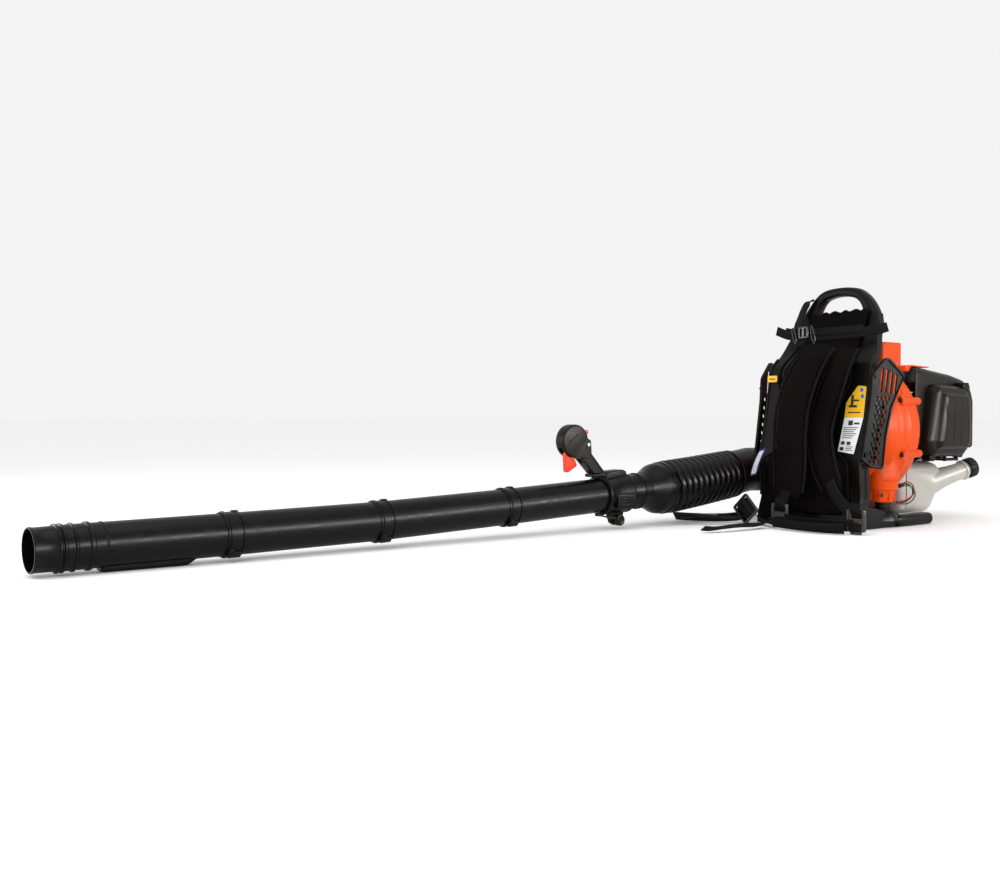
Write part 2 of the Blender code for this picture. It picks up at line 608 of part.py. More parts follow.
def make_bellows(name, start, end, before, after, finish):
    """A corrugated hose, plain at the cuffs, between two points of the pipe's plane."""
    a, b = pipe_point(start), pipe_point(end)
    span = b - a
    length = span.length - before - after
    rings = 5
    pitch = length / rings
    outer = [(before, 0.0500)]
    for i in range(rings):
        foot = before + pitch * i
        outer += [(foot + pitch * 0.35, 0.0580), (foot + pitch * 0.65, 0.0580),
                  (foot + pitch, 0.0480 if i < rings - 1 else 0.0500)]
    new_object(name, turned_tube(outer, [(before, 0.0450), (before + length, 0.0450)], a, span, 20),
               finish)


def collar(length):
    """Stations of the bayonet socket at a pipe's front end: outside, then its bore."""
    outside = [(length - 0.016, PIPE_R), (length - 0.014, 0.0385), (length + 0.014, 0.0385)]
    inside = [(length - 0.0150, PIPE_BORE), (length - 0.0150, 0.0360), (length + 0.014, 0.0360)]
    return outside, inside


def lug(centre, along, degrees, long, high):
    """A bayonet lug standing on a collar, at an angle round the pipe."""
    turn = math.radians(degrees)
    out = Vector((math.cos(turn), 0, math.sin(turn)))
    side = along.cross(out).normalized()
    ring = [centre + out * r + side * s for r, s in ((0.0372, -0.006), (high, -0.004),
                                                     (high, 0.004), (0.0372, 0.006))]
    return loft([[p - along * long / 2 for p in ring], [p + along * long / 2 for p in ring]])


def make_pipe(name, joint, finish):
    """A straight pipe from one joint to the next, with a spigot behind and a socket in front."""
    a, b = pipe_point(PIPE_JOINTS[joint]), pipe_point(PIPE_JOINTS[joint + 1])
    length = (b - a).length
    outside, inside = collar(length)
    if joint == 0:
        outer = [(GAP, 0.0560), (0.010, 0.0560), (0.0105, 0.0545), (0.040, 0.0535), (0.075, 0.0370),
                 (0.085, PIPE_R)]
        bore = [(GAP, 0.0500), (0.038, 0.0490), (0.075, 0.0335), (0.085, PIPE_BORE)]
    else:
        outer = [(-0.0130, PIPE_R)]
        bore = [(-0.0130, PIPE_BORE)]
    pipe = new_object(name, turned_tube(outer + outside, bore + inside, a, b - a, 24), finish)
    along = (b - a).normalized()
    centre = a + along * length
    add(pipe, lug(centre, along, -52, 0.022, 0.0445), lug(centre, along, 90, 0.012, 0.0410))
    return pipe


def make_nozzle(finish):
    """Round nozzle with grip ribs near its tip and a skid below to rest on."""
    a, b = pipe_point(PIPE_JOINTS[3]), pipe_point(PIPE_JOINTS[4])
    length = (b - a).length
    outer = [(-0.0130, PIPE_R), (0.055, PIPE_R)]
    for from_tip, width in ((0.116, 0.006), (0.096, 0.004), (0.066, 0.012)):
        foot = length - from_tip
        outer += [(foot, PIPE_R), (foot + 0.001, 0.0368), (foot + width, 0.0368),
                  (foot + width + 0.001, PIPE_R)]
    outer += [(length - 0.004, 0.0342), (length, 0.0342)]
    nozzle = new_object("nozzle", turned(outer, a, b - a, 24), finish)
    skid = [(-1.545, 0.0), (-1.412, 0.0), (-1.398, 0.010), (-1.398, 0.020), (-1.548, 0.020),
            (-1.548, 0.004)]
    add(nozzle, prism(skid, "x", PIPE_X - 0.013, PIPE_X + 0.013))
    cut(nozzle, turned([(-0.05, PIPE_BORE - 0.0005), (length + 0.05, PIPE_BORE - 0.0005)], a, b - a, 24))
    return nozzle


# ---- control handle ------------------------------------------------------------------
KNOB_Y, KNOB_Z = -0.472, 0.0175      # hinge line of the clamp lever


def pipe_height(y):
    (y0, z0), (y1, z1) = PIPE_JOINTS[0], PIPE_JOINTS[1]
    return z0 + (z1 - z0) * (y - y0) / (y1 - y0)


def make_handle_clamp(finish):
    """A split ring on the pipe with a saddle for the handle and a lug for the clamp lever."""
    along = pipe_point(PIPE_JOINTS[1]) - pipe_point(PIPE_JOINTS[0])
    start = Vector((PIPE_X, -0.446, pipe_height(-0.446)))
    ring = new_object("handle_clamp_ring", turned([(0, 0.0405), (0.074, 0.0405)], start, along, 20),
                      finish)
    add(ring, box((PIPE_X - 0.016, -0.507, 0.095), (PIPE_X + 0.016, -0.452, 0.1205)),
        box((PIPE_X - 0.0135, -0.566, 0.1085), (PIPE_X + 0.0135, -0.460, 0.1160)),
        prism([(-0.498, 0.045), (-0.450, 0.045), (-0.458, 0.012), (-0.468, 0.0065),
               (-0.476, 0.0065), (-0.486, 0.012)], "x", PIPE_X - 0.006, PIPE_X + 0.006),
        box((PIPE_X + 0.034, -0.500, 0.062), (PIPE_X + 0.0435, -0.452, 0.084)))
    cut(ring, turned([(-0.05, 0.0359), (0.20, 0.0359)], start, along, 20),
        rod((PIPE_X - 0.02, KNOB_Y, KNOB_Z), (PIPE_X + 0.02, KNOB_Y, KNOB_Z), 0.0064))
    return ring


def make_clamp_lever(finish):
    lever = new_object("clamp_lever", rod((PIPE_X + 0.0065, KNOB_Y, KNOB_Z),
                                          (PIPE_X + 0.0190, KNOB_Y, KNOB_Z), 0.0115, 24), finish)
    add(lever, rod((PIPE_X - 0.0110, KNOB_Y, KNOB_Z), (PIPE_X + 0.0100, KNOB_Y, KNOB_Z), 0.0058),
        prism([(KNOB_Y + 0.002, KNOB_Z - 0.003), (KNOB_Y, KNOB_Z + 0.003), (-0.518, 0.0310),
               (-0.534, 0.0330), (-0.536, 0.0295), (-0.514, 0.0270)], "x",
              PIPE_X + 0.0080, PIPE_X + 0.0150))
    return lever


HEAD_Y, HEAD_Z, HEAD_R = -0.592, 0.1835, 0.034      # the handle's round head
TRIGGER_PIVOT = (-0.605, 0.158)     # (y, z) of each lever's hinge, both along X
CRUISE_PIVOT = (-0.570, 0.197)


def make_control_handle(plastic, accent, metal):
    outline = [(-0.5620, 0.1165), (-0.596, 0.150)]
    for degrees in range(250, 9, -20):
        turn = math.radians(degrees)
        outline.append((HEAD_Y + HEAD_R * math.cos(turn), HEAD_Z + HEAD_R * math.sin(turn)))
    outline += [(-0.5510, 0.1840), (-0.5495, 0.170), (-0.5510, 0.157), (-0.5170, 0.1165)]
    for name, low, high in (("control_handle_right_half", PIPE_X - 0.0135, PIPE_X - 0.0002),
                            ("control_handle_left_half", PIPE_X + 0.0002, PIPE_X + 0.0135)):
        half = new_object(name, prism(outline, "x", low, high), plastic)
        bevel(half, 0.003, 1, 60)
        cut(half, box((PIPE_X - 0.0062, -0.64, 0.120), (PIPE_X + 0.0062, -0.562, 0.170)),
            box((PIPE_X - 0.0052, -0.5835, 0.1830), (PIPE_X + 0.0052, -0.53, 0.23)))
    trigger = [(-0.613, 0.153), (-0.609, 0.1215), (-0.6035, 0.1212), (-0.582, 0.1335),
               (-0.588, 0.148), (-0.596, 0.161), (-0.605, 0.164), (-0.612, 0.160)]
    made = new_object("throttle_trigger", prism(trigger, "x", PIPE_X - 0.0055, PIPE_X + 0.0055), accent)
    bevel(made, 0.0015, 1, 40)
    cruise = [(-0.581, 0.1895), (-0.564, 0.1885), (-0.5560, 0.1990), (-0.5580, 0.2050),
              (-0.5710, 0.2050), (-0.5780, 0.2020)]
    new_object("cruise_lever", prism(cruise, "x", PIPE_X - 0.0045, PIPE_X + 0.0045), accent)
    new_object("handle_screw", turned([(0, 0.0048), (0.0015, 0.0048), (0.0028, 0.0030)],
                                      (PIPE_X + 0.0139, -0.5625, 0.177), (1, 0, 0), 12), metal)


# ---- harness -------------------------------------------------------------------------
def make_back_pad(finish):
    """Hourglass pad against the frame: broad at the shoulders and at the lower back."""
    widths = [(0.028, 0.100), (0.036, 0.108), (0.140, 0.110), (0.150, 0.100), (0.160, 0.068),
              (0.184, 0.054), (0.2155, 0.058), (0.267, 0.077), (0.300, 0.093), (0.340, 0.092),
              (0.372, 0.078), (0.388, 0.066)]
    rings = []
    for z, half in widths:
        back = front_y(z) - 0.0025
        front = back - 0.017
        rings.append([Vector((x, y, z)) for x, y in (
            (-half, back), (half, back), (half, back - 0.006), (half - 0.010, front),
            (0.010 - half, front), (-half, back - 0.006))])
    new_object("back_pad", loft(rings), finish)


def make_shoulder_straps(finish):
    right = [(0.010, -0.096, 0.384), (0.006, -0.125, 0.355), (0.000, -0.150, 0.305),
             (-0.003, -0.166, 0.250), (-0.002, -0.176, 0.190), (0.000, -0.178, 0.125),
             (-0.006, -0.174, 0.072)]
    left = [(0.078, -0.083, 0.378), (0.076, -0.108, 0.352), (0.066, -0.124, 0.300),
            (0.052, -0.134, 0.240), (0.048, -0.142, 0.190), (0.068, -0.153, 0.130),
            (0.096, -0.158, 0.076)]
    new_object("shoulder_strap_right", ribbon(right, 0.084, 0.011), finish)
    new_object("shoulder_strap_left", ribbon(left, 0.062, 0.011), finish)


def make_ladder_lock(name, centre, finish):
    """A slotted buckle: two side rails and three bars, hanging from a strap's end."""
    x, y, z = centre
    lock = new_object(name, box((x - 0.021, y - 0.003, z - 0.022), (x + 0.021, y + 0.003, z + 0.022)),
                      finish)
    bevel(lock, 0.0015, 1)
    for low in (-0.016, 0.003):
        cut(lock, box((x - 0.015, y - 0.01, z + low), (x + 0.015, y + 0.01, z + low + 0.011)))
    return lock


def make_webbing(finish, buckle_finish):
    cross = [(-0.128, -0.060, 0.424), (-0.090, -0.066, 0.412), (0.0, -0.072, 0.406),
             (0.090, -0.060, 0.410), (0.124, -0.050, 0.414), (0.142, -0.042, 0.419)]
    new_object("top_cross_strap", ribbon(cross, 0.020, 0.0025, (0, 0, 1)), finish)
    # the belt's right wing rises from the frame's corner and trails under the hose
    right = [(-0.128, -0.135, 0.022), (-0.134, -0.165, 0.016), (-0.150, -0.200, 0.0125),
             (-0.185, -0.232, 0.0115), (-0.225, -0.246, 0.0110), (-0.258, -0.252, 0.0110)]
    new_object("waist_belt_right", ribbon(right, 0.024, 0.004, (0.3, -0.6, 0.8)), finish)
    left = [(-0.020, -0.214, 0.0125), (0.020, -0.222, 0.0120), (0.070, -0.228, 0.0115),
            (0.125, -0.226, 0.0115), (0.158, -0.212, 0.0120)]
    new_object("waist_belt_left", ribbon(left, 0.026, 0.004, (0.0, -0.6, 0.8)), finish)
    make_ladder_lock("ladder_lock_right", (-0.022, -0.180, 0.028), buckle_finish)
    make_ladder_lock("ladder_lock_left", (0.172, -0.190, 0.025), buckle_finish)
    make_ladder_lock("waist_slide_buckle", (-0.098, -0.200, 0.030), buckle_finish)


# ---- assembly ------------------------------------------------------------------------
def pipe_pivot(y):
    return Vector((PIPE_X, y, pipe_height(y)))


def set_origins():
    """Put each moving piece's origin on its joint's axis, leaving the piece where it is."""
    pivots = {
        "impeller": (0, 0, FAN_Z), "fan_nut": (0, 0, FAN_Z), "crankshaft": (0, 0, FAN_Z),
        "flywheel": (0, 0, FAN_Z), "starter_pulley": (0, 0.285, FAN_Z),
        "starter_handle": (-0.095, 0.285, FAN_Z + 0.040),
        "piston": (0, ENGINE_Y, 0.271), "primer_bulb": (0.072, ENGINE_Y, 0.2450),
        "carb_throttle_lever": (0.072, 0.1575, 0.278), "choke_lever": (0.082, 0.203, 0.268),
        "air_filter_cover": (0.0985, 0.189, 0.224), "filter_cover_latch": (LATCH_X, 0.205, LATCH_Z),
        "fuel_cap": (0.1170, 0.3180, 0.1155),
        "swivel_elbow": (OUTLET_X, OUTLET_Y, OUTLET_Z),
        "hose_bellows_rear": (OUTLET_X, OUTLET_Y, OUTLET_Z),
        "hose_bellows_front": pipe_point(HOSE_BEND), "swivel_pipe": pipe_point(HOSE_END),
        "middle_pipe": pipe_point(PIPE_JOINTS[1]), "front_pipe": pipe_point(PIPE_JOINTS[2]),
        "nozzle": pipe_point(PIPE_JOINTS[3]),
        "handle_clamp_ring": pipe_pivot(-0.480), "control_handle_right_half": pipe_pivot(-0.480),
        "control_handle_left_half": pipe_pivot(-0.480), "handle_screw": pipe_pivot(-0.480),
        "clamp_lever": (PIPE_X, KNOB_Y, KNOB_Z),
        "throttle_trigger": (PIPE_X, *TRIGGER_PIVOT), "cruise_lever": (PIPE_X, *CRUISE_PIVOT)}
    for name, pivot in pivots.items():
        piece = bpy.data.objects[name]
        piece.data.transform(Matrix.Translation(-Vector(pivot)))
        piece.location = pivot


def main():
    remove_everything()
    black = material("black_plastic", (0.020, 0.019, 0.018), 0.45)
    grey = material("dark_grey_plastic", (0.055, 0.050, 0.045), 0.42)
    orange = material("orange_plastic", (0.90, 0.110, 0.020), 0.38)
    accent = material("red_orange_plastic", (0.85, 0.080, 0.020), 0.40)
    rubber = material("black_rubber", (0.015, 0.015, 0.015), 0.75)
    fabric = material("black_fabric", (0.012, 0.011, 0.011), 0.95)
    tank_white = material("natural_tank_plastic", (0.78, 0.74, 0.66), 0.35)
    aluminium = material("cast_aluminium", (0.60, 0.60, 0.62), 0.40, 1.0)
    steel = material("steel", (0.55, 0.55, 0.56), 0.30, 1.0)
    dark_metal = material("dark_cast_metal", (0.22, 0.22, 0.23), 0.50, 1.0)
    foam = material("filter_foam", (0.30, 0.27, 0.10), 0.95)

    make_backpack_frame(black)
    make_grille("right_intake_grille", 1, grey)
    make_grille("left_intake_grille", -1, grey)
    make_volute_half("volute_front_half", True, orange)
    make_volute_half("volute_rear_half", False, orange)
    make_inlet_guard(steel)
    make_impeller(black)
    make_crankshaft(steel)
    make_engine_core(aluminium, dark_metal, rubber)
    make_muffler(dark_metal)
    make_fuel_system(aluminium, black, rubber)
    make_air_filter(grey, foam)
    make_filter_latch(grey)
    make_engine_cover(grey)
    make_starter(black, rubber)
    make_tank(tank_white, black, rubber)
    for side, name in ((-1, "anti_vibration_mount_left"), (1, "anti_vibration_mount_right")):
        new_object(name, rod((side * 0.110, -0.008, 0.0405), (side * 0.110, -0.008, 0.0525),
                             0.0165, 20), rubber)
    cable("stop_switch_wire", [(0.126, 0.0302, 0.086), (0.129, 0.046, 0.090), (0.131, 0.066, 0.082),
                               (0.126, 0.077, 0.064), (0.115, 0.068, 0.050), (0.106, 0.049, 0.048)],
          0.0016, rubber, 3)

    make_elbow(black)
    make_bellows("hose_bellows_rear", HOSE_START, HOSE_BEND, GAP, BEND_GAP, rubber)
    make_bellows("hose_bellows_front", HOSE_BEND, HOSE_END, BEND_GAP, 0.003, rubber)
    for joint, name in enumerate(("swivel_pipe", "middle_pipe", "front_pipe")):
        make_pipe(name, joint, black)
    make_nozzle(black)
    make_handle_clamp(black)
    make_clamp_lever(black)
    make_control_handle(black, accent, steel)

    make_back_pad(fabric)
    make_shoulder_straps(fabric)
    make_webbing(fabric, black)
    set_origins()


main()
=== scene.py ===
import math

import bmesh
import bpy
from mathutils import Matrix, Vector


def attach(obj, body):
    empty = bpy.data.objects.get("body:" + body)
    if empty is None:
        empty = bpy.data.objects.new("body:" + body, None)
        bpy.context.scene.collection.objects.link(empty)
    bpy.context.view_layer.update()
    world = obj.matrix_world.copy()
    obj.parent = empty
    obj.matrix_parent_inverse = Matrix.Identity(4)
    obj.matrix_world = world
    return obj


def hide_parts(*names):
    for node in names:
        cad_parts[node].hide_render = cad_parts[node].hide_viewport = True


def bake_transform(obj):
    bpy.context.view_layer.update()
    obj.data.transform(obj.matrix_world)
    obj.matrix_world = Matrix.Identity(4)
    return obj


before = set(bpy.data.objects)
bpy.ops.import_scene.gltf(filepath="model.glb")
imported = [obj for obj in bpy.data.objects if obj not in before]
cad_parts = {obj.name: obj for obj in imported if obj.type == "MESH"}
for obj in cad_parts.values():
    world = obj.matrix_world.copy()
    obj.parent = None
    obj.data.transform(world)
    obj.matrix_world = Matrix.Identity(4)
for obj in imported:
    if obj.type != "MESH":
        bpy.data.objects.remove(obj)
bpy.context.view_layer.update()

# The looks of a petrol backpack leaf blower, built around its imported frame. Metres, +Z up:
# -Y is the wearer's forward, +Y the engine side, and the blower pipe runs forward at -X.

# ---- driving dimensions, the same as the frame's --------------------------------------
FAN_Z = 0.205                       # height of the fan and crank axis
FRAME_HALF = 0.130                  # half width of the backpack frame
PIPE_X = -0.220                     # the pipe's vertical plane
PIPE_R, PIPE_BORE = 0.035, 0.0325
OUTLET_X, OUTLET_Y, OUTLET_Z = -0.168, 0.002, 0.110
ENGINE_Y = 0.180
FRONT_LINE = [(0.0, -0.127), (0.02, -0.127), (0.06, -0.112), (0.113, -0.116), (0.145, -0.118),
              (0.226, -0.099), (0.267, -0.092), (0.34, -0.080), (0.37, -0.054), (0.41, -0.034),
              (0.43, -0.020), (0.47, -0.012), (0.52, -0.012)]
HOSE_START, HOSE_BEND, HOSE_END = (-0.125, 0.1000), (-0.2275, 0.0888), (-0.330, 0.0790)
PIPE_JOINTS = [HOSE_END, (-0.765, 0.0588), (-1.053, 0.0480), (-1.340, 0.0434), (-1.652, 0.0396)]
GAP = 0.0005
STRAP_THICK = 0.011


# ---- materials -----------------------------------------------------------------------
class Finish:
    """A node material being built: the shader, and short calls that add nodes before it."""

    def __init__(self, name, rgb, roughness, metallic=0.0, specular=0.5):
        self.material = bpy.data.materials.new(name)
        self.material.use_nodes = True
        self.tree = self.material.node_tree
        self.shader = self.tree.nodes["Principled BSDF"]
        self.set("Base Color", (*rgb, 1.0))
        self.set("Roughness", roughness)
        self.set("Metallic", metallic)
        self.set("Specular IOR Level", specular)
        self.place = self.tree.nodes.new("ShaderNodeTexCoord").outputs["Object"]

    def set(self, socket, value):
        self.shader.inputs[socket].default_value = value

    def node(self, kind, links=(), **settings):
        made = self.tree.nodes.new("ShaderNode" + kind)
        for key, value in settings.items():
            if key in made.inputs:
                made.inputs[key].default_value = value
            else:
                setattr(made, key, value)
        for socket, source in dict(links).items():
            self.tree.links.new(source, made.inputs[socket])
        return made

    def noise(self, scale, detail=3.0, stretch=(1, 1, 1)):
        place = self.node("Mapping", {"Vector": self.place}, Scale=stretch).outputs["Vector"]
        return self.node("TexNoise", {"Vector": place}, Scale=scale, Detail=detail).outputs["Fac"]

    def wave(self, period, stretch=(1, 1, 1), direction="DIAGONAL", place=None):
        place = self.node("Mapping", {"Vector": place or self.place}, Scale=stretch).outputs["Vector"]
        made = self.node("TexWave", {"Vector": place}, Scale=math.pi / 10 / period, Distortion=0.0)
        made.bands_direction = direction
        return made.outputs["Fac"]

    def spread(self, value, low, high, start=0.3, end=0.7):
        made = self.node("MapRange", {"Value": value})
        for key, number in (("From Min", start), ("From Max", end), ("To Min", low), ("To Max", high)):
            made.inputs[key].default_value = number
        return made.outputs["Result"]

    def maths(self, operation, a, b):
        made = self.node("Math", {0: a})
        made.operation = operation
        if isinstance(b, (int, float)):
            made.inputs[1].default_value = b
        else:
            self.tree.links.new(b, made.inputs[1])
        return made.outputs["Value"]

    def blend_colours(self, amount, dark, light):
        made = self.node("Mix", data_type="RGBA")
        made.inputs[6].default_value = (*dark, 1.0)
        made.inputs[7].default_value = (*light, 1.0)
        self.tree.links.new(amount, made.inputs[0])
        return made.outputs[2]

    def link(self, source, socket):
        self.tree.links.new(source, self.shader.inputs[socket])

    def bump(self, height, distance, strength=1.0):
        made = self.node("Bump", {"Height": height}, Strength=strength, Distance=distance)
        self.link(made.outputs["Normal"], "Normal")


def shade(rgb, factor):
    return tuple(min(1.0, c * factor) for c in rgb)


def moulded(name, rgb, roughness, specular=0.5, grain=0.0011, depth=0.00006, mottle=0.16):
    """Moulded plastic: cloudy colour, uneven gloss with fine scuffs, and a grained surface."""
    f = Finish(name, rgb, roughness, specular=specular)
    cloud = f.spread(f.noise(11.0), 0.0, 1.0)
    scuff = f.spread(f.noise(90.0, 6.0, (1, 1, 6)), 0.0, 1.0, 0.60, 0.72)
    tone = f.maths("ADD", cloud, f.maths("MULTIPLY", scuff, 0.35))
    f.link(f.blend_colours(tone, shade(rgb, 1 - mottle), shade(rgb, 1 + mottle)), "Base Color")
    gloss = f.spread(f.noise(38.0, 4.0), roughness - 0.05, roughness + 0.07)
    f.link(f.maths("ADD", gloss, f.maths("MULTIPLY", scuff, 0.05)), "Roughness")
    f.bump(f.noise(1.0 / grain, 2.0), depth)
    return f.material


def rubber(name, rgb):
    """Soft rubber: matt, with dust in the hollows of its grain."""
    f = Finish(name, rgb, 0.6, specular=0.14)
    dust = f.spread(f.noise(60.0, 5.0), 0.0, 1.0, 0.5, 0.75)
    f.link(f.blend_colours(dust, rgb, shade(rgb, 1.9)), "Base Color")
    f.link(f.spread(f.noise(25.0), 0.52, 0.68), "Roughness")
    f.bump(f.noise(700.0, 3.0), 0.00010)
    return f.material


def woven(name, rgb, thread=0.0016):
    """Coarse pack cloth: two crossed sets of threads, painted darker between the threads and lighter on them as shade
    and highlight, and worn lighter where it is rubbed.
    """
    f = Finish(name, rgb, 0.85, specular=0.05)
    one, other = f.wave(thread), f.wave(thread, (-1, 1, 1))
    thread_height_and_shade = f.maths("MAXIMUM", one, other)
    rub = f.spread(f.noise(14.0, 4.0), 0.0, 1.0)
    # the thread height also darkens the colour between the threads and lightens it on them: painted shade and
    # highlight on the weave; the rub is real wear
    tone = f.maths("MULTIPLY", f.maths("ADD", f.maths("MULTIPLY", thread_height_and_shade, 0.6), 0.4), rub)
    f.link(f.blend_colours(tone, shade(rgb, 0.6), shade(rgb, 1.7)), "Base Color")
    f.link(f.spread(f.noise(220.0), 0.78, 0.95), "Roughness")
    folds = f.maths("MULTIPLY", f.noise(32.0, 2.0), 1.6)
    f.bump(f.maths("ADD", thread_height_and_shade, folds), 0.00035)
    return f.material


def webbing_finish(name, rgb, rib=0.0022):
    """Strap webbing: chevrons of thread that follow the strap's own length."""
    f = Finish(name, rgb, 0.7, specular=0.10)
    uv = f.node("UVMap").outputs["UV"]
    one = f.wave(rib, (1, 1, 0), place=uv)
    other = f.wave(rib, (-1, 1, 0), place=uv)
    height = f.maths("MAXIMUM", one, other)
    wear = f.spread(f.noise(45.0, 4.0), 0.25, 1.0)
    # the rib height darkens the colour between the ribs and lightens it on them: painted shade and highlight on the
    # weave; the wear is real
    f.link(f.blend_colours(f.maths("MULTIPLY", height, wear), shade(rgb, 0.55), shade(rgb, 2.0)), "Base Color")
    f.link(f.spread(f.noise(300.0), 0.6, 0.8), "Roughness")
    f.bump(height, 0.0004)
    return f.material


def metal(name, rgb, roughness, grain=(1, 1, 14), cast=False):
    """Turned or drawn metal with fine lines, or the sandy skin of a casting."""
    f = Finish(name, rgb, roughness, metallic=1.0)
    cloud = f.spread(f.noise(40.0, 4.0), 0.0, 1.0)
    f.link(f.blend_colours(cloud, shade(rgb, 0.72), shade(rgb, 1.1)), "Base Color")
    f.link(f.spread(f.noise(120.0, 3.0, grain), roughness - 0.08, roughness + 0.12), "Roughness")
    f.bump(f.noise(900.0 if cast else 400.0, 3.0, (1, 1, 1) if cast else grain), 0.0002 if cast else 0.00004)
    return f.material


def tank_finish(name, rgb):
    """Natural plastic that light soaks into, a little cloudy, with a faint moulded grain."""
    f = Finish(name, rgb, 0.36, specular=0.45)
    f.set("Subsurface Weight", 0.25)
    f.set("Subsurface Radius", (1.0, 0.9, 0.75))
    f.set("Subsurface Scale", 0.012)
    f.link(f.blend_colours(f.spread(f.noise(13.0), 0.0, 1.0), shade(rgb, 0.95), shade(rgb, 1.03)), "Base Color")
    f.link(f.spread(f.noise(50.0), 0.30, 0.44), "Roughness")
    f.bump(f.noise(600.0), 0.00005)
    return f.material


def foam_finish(name, rgb):
    """Open-cell filter foam."""
    f = Finish(name, rgb, 0.95, specular=0.2)
    cells = f.node("TexVoronoi", {"Vector": f.place}, Scale=420.0).outputs["Distance"]
    f.link(f.blend_colours(f.spread(cells, 0.0, 1.0, 0.0, 0.8), shade(rgb, 1.3), shade(rgb, 0.25)), "Base Color")
    f.bump(cells, 0.0012)
    return f.material


BLACK = moulded("black_moulding", (0.0028, 0.0024, 0.0022), 0.34, 0.11)
PIPE_BLACK = moulded("pipe_moulding", (0.0024, 0.0020, 0.0018), 0.30, 0.12, 0.0008, 0.00004)
HOSE_BLACK = moulded("hose_moulding", (0.0022, 0.0019, 0.0018), 0.26, 0.15, 0.0008, 0.00004)
GREY = moulded("dark_grey_moulding", (0.0074, 0.0052, 0.0036), 0.33, 0.12)
GRILLE = moulded("grille_moulding", (0.0040, 0.0031, 0.0027), 0.44, 0.08)
ORANGE = moulded("orange_moulding", (0.82, 0.080, 0.004), 0.34, 0.09, 0.0014, 0.00005, 0.06)
ACCENT = moulded("red_orange_moulding", (0.80, 0.042, 0.006), 0.36, 0.20, 0.0010, 0.00005, 0.08)
RUBBER = rubber("black_rubber", (0.0060, 0.0058, 0.0056))
CLOTH = woven("pack_cloth", (0.0024, 0.0016, 0.0016))
WEBBING = webbing_finish("strap_webbing", (0.0032, 0.0026, 0.0026))
# edge tape lighter than the cloth: real taped edges, with a painted highlight along them
WEBBING_PLAIN = woven("edge_tape", (0.0064, 0.0050, 0.0050), 0.0012)
BLUE = moulded("label_blue", (0.045, 0.16, 0.42), 0.42, 0.3, mottle=0.03)
PATCH = woven("stitched_patch", (0.30, 0.29, 0.28), 0.0012)
BUCKLE = moulded("buckle_moulding", (0.0160, 0.0145, 0.0135), 0.22, 0.50, 0.0008, 0.00003)
TANK = tank_finish("tank_plastic", (0.56, 0.53, 0.475))
ALUMINIUM = metal("cast_aluminium", (0.62, 0.62, 0.63), 0.42, cast=True)
STEEL = metal("bright_steel", (0.66, 0.65, 0.64), 0.26)
DARK_METAL = metal("dark_casting", (0.16, 0.16, 0.165), 0.5, cast=True)
FOAM = foam_finish("filter_foam", (0.30, 0.27, 0.10))
YELLOW = moulded("label_yellow", (0.86, 0.48, 0.010), 0.42, 0.4, mottle=0.04)
WHITE = moulded("label_white", (0.80, 0.80, 0.80), 0.42, 0.4, mottle=0.03)
INK = moulded("label_ink", (0.03, 0.03, 0.03), 0.5, 0.3)
TAG_BLUE = woven("tag_cloth", (0.035, 0.035, 0.16), 0.0008)
TAG_WHITE = woven("tag_lining", (0.62, 0.62, 0.66), 0.0008)
RED_WIRE = rubber("red_wire", (0.42, 0.010, 0.012))
GREEN_WIRE = rubber("green_wire", (0.006, 0.15, 0.055))
# near-black discs set on the bosses and feet: painted shade of their bolt recesses
RECESS_SHADE = moulded("bolt_recess_shade", (0.006, 0.006, 0.006), 0.6, 0.2)


# ---- mesh helpers --------------------------------------------------------------------
def loft(rings, loop=False):
    """Skin rings of equal length; the ends are capped unless the rings form a loop."""
    bm = bmesh.new()
    rows = [[bm.verts.new(point) for point in ring] for ring in rings]
    pairs = list(zip(rows, rows[1:])) + ([(rows[-1], rows[0])] if loop else [])
    count = len(rows[0])
    for low, high in pairs:
        for i in range(count):
            j = (i + 1) % count
            bm.faces.new((low[i], low[j], high[j], high[i]))
    if not loop:
        bm.faces.new(rows[0][::-1])
        bm.faces.new(rows[-1])
    bmesh.ops.recalc_face_normals(bm, faces=bm.faces)
    return bm


def axes_for(direction):
    along = Vector(direction).normalized()
    helper = Vector((0, 0, 1)) if abs(along.z) < 0.9 else Vector((1, 0, 0))
    side = helper.cross(along).normalized()
    return side, along.cross(side), along


def circle(centre, direction, radius, segments):
    side, up, _ = axes_for(direction)
    turns = [2 * math.pi * i / segments for i in range(segments)]
    return [Vector(centre) + (side * math.cos(t) + up * math.sin(t)) * radius for t in turns]


def turned(stations, start, direction, segments=48):
    along = Vector(direction).normalized()
    return loft([circle(Vector(start) + along * s, direction, r, segments) for s, r in stations])


def turned_tube(outer, inner, start, direction, segments=48):
    along = Vector(direction).normalized()
    stations = outer + inner[::-1]
    return loft([circle(Vector(start) + along * s, direction, r, segments) for s, r in stations], True)


def rod(start, end, radius, segments=24, edge=0.0006):
    span = Vector(end) - Vector(start)
    far = span.length
    return turned([(0, radius - edge), (edge, radius), (far - edge, radius), (far, radius - edge)],
                  start, span, segments)


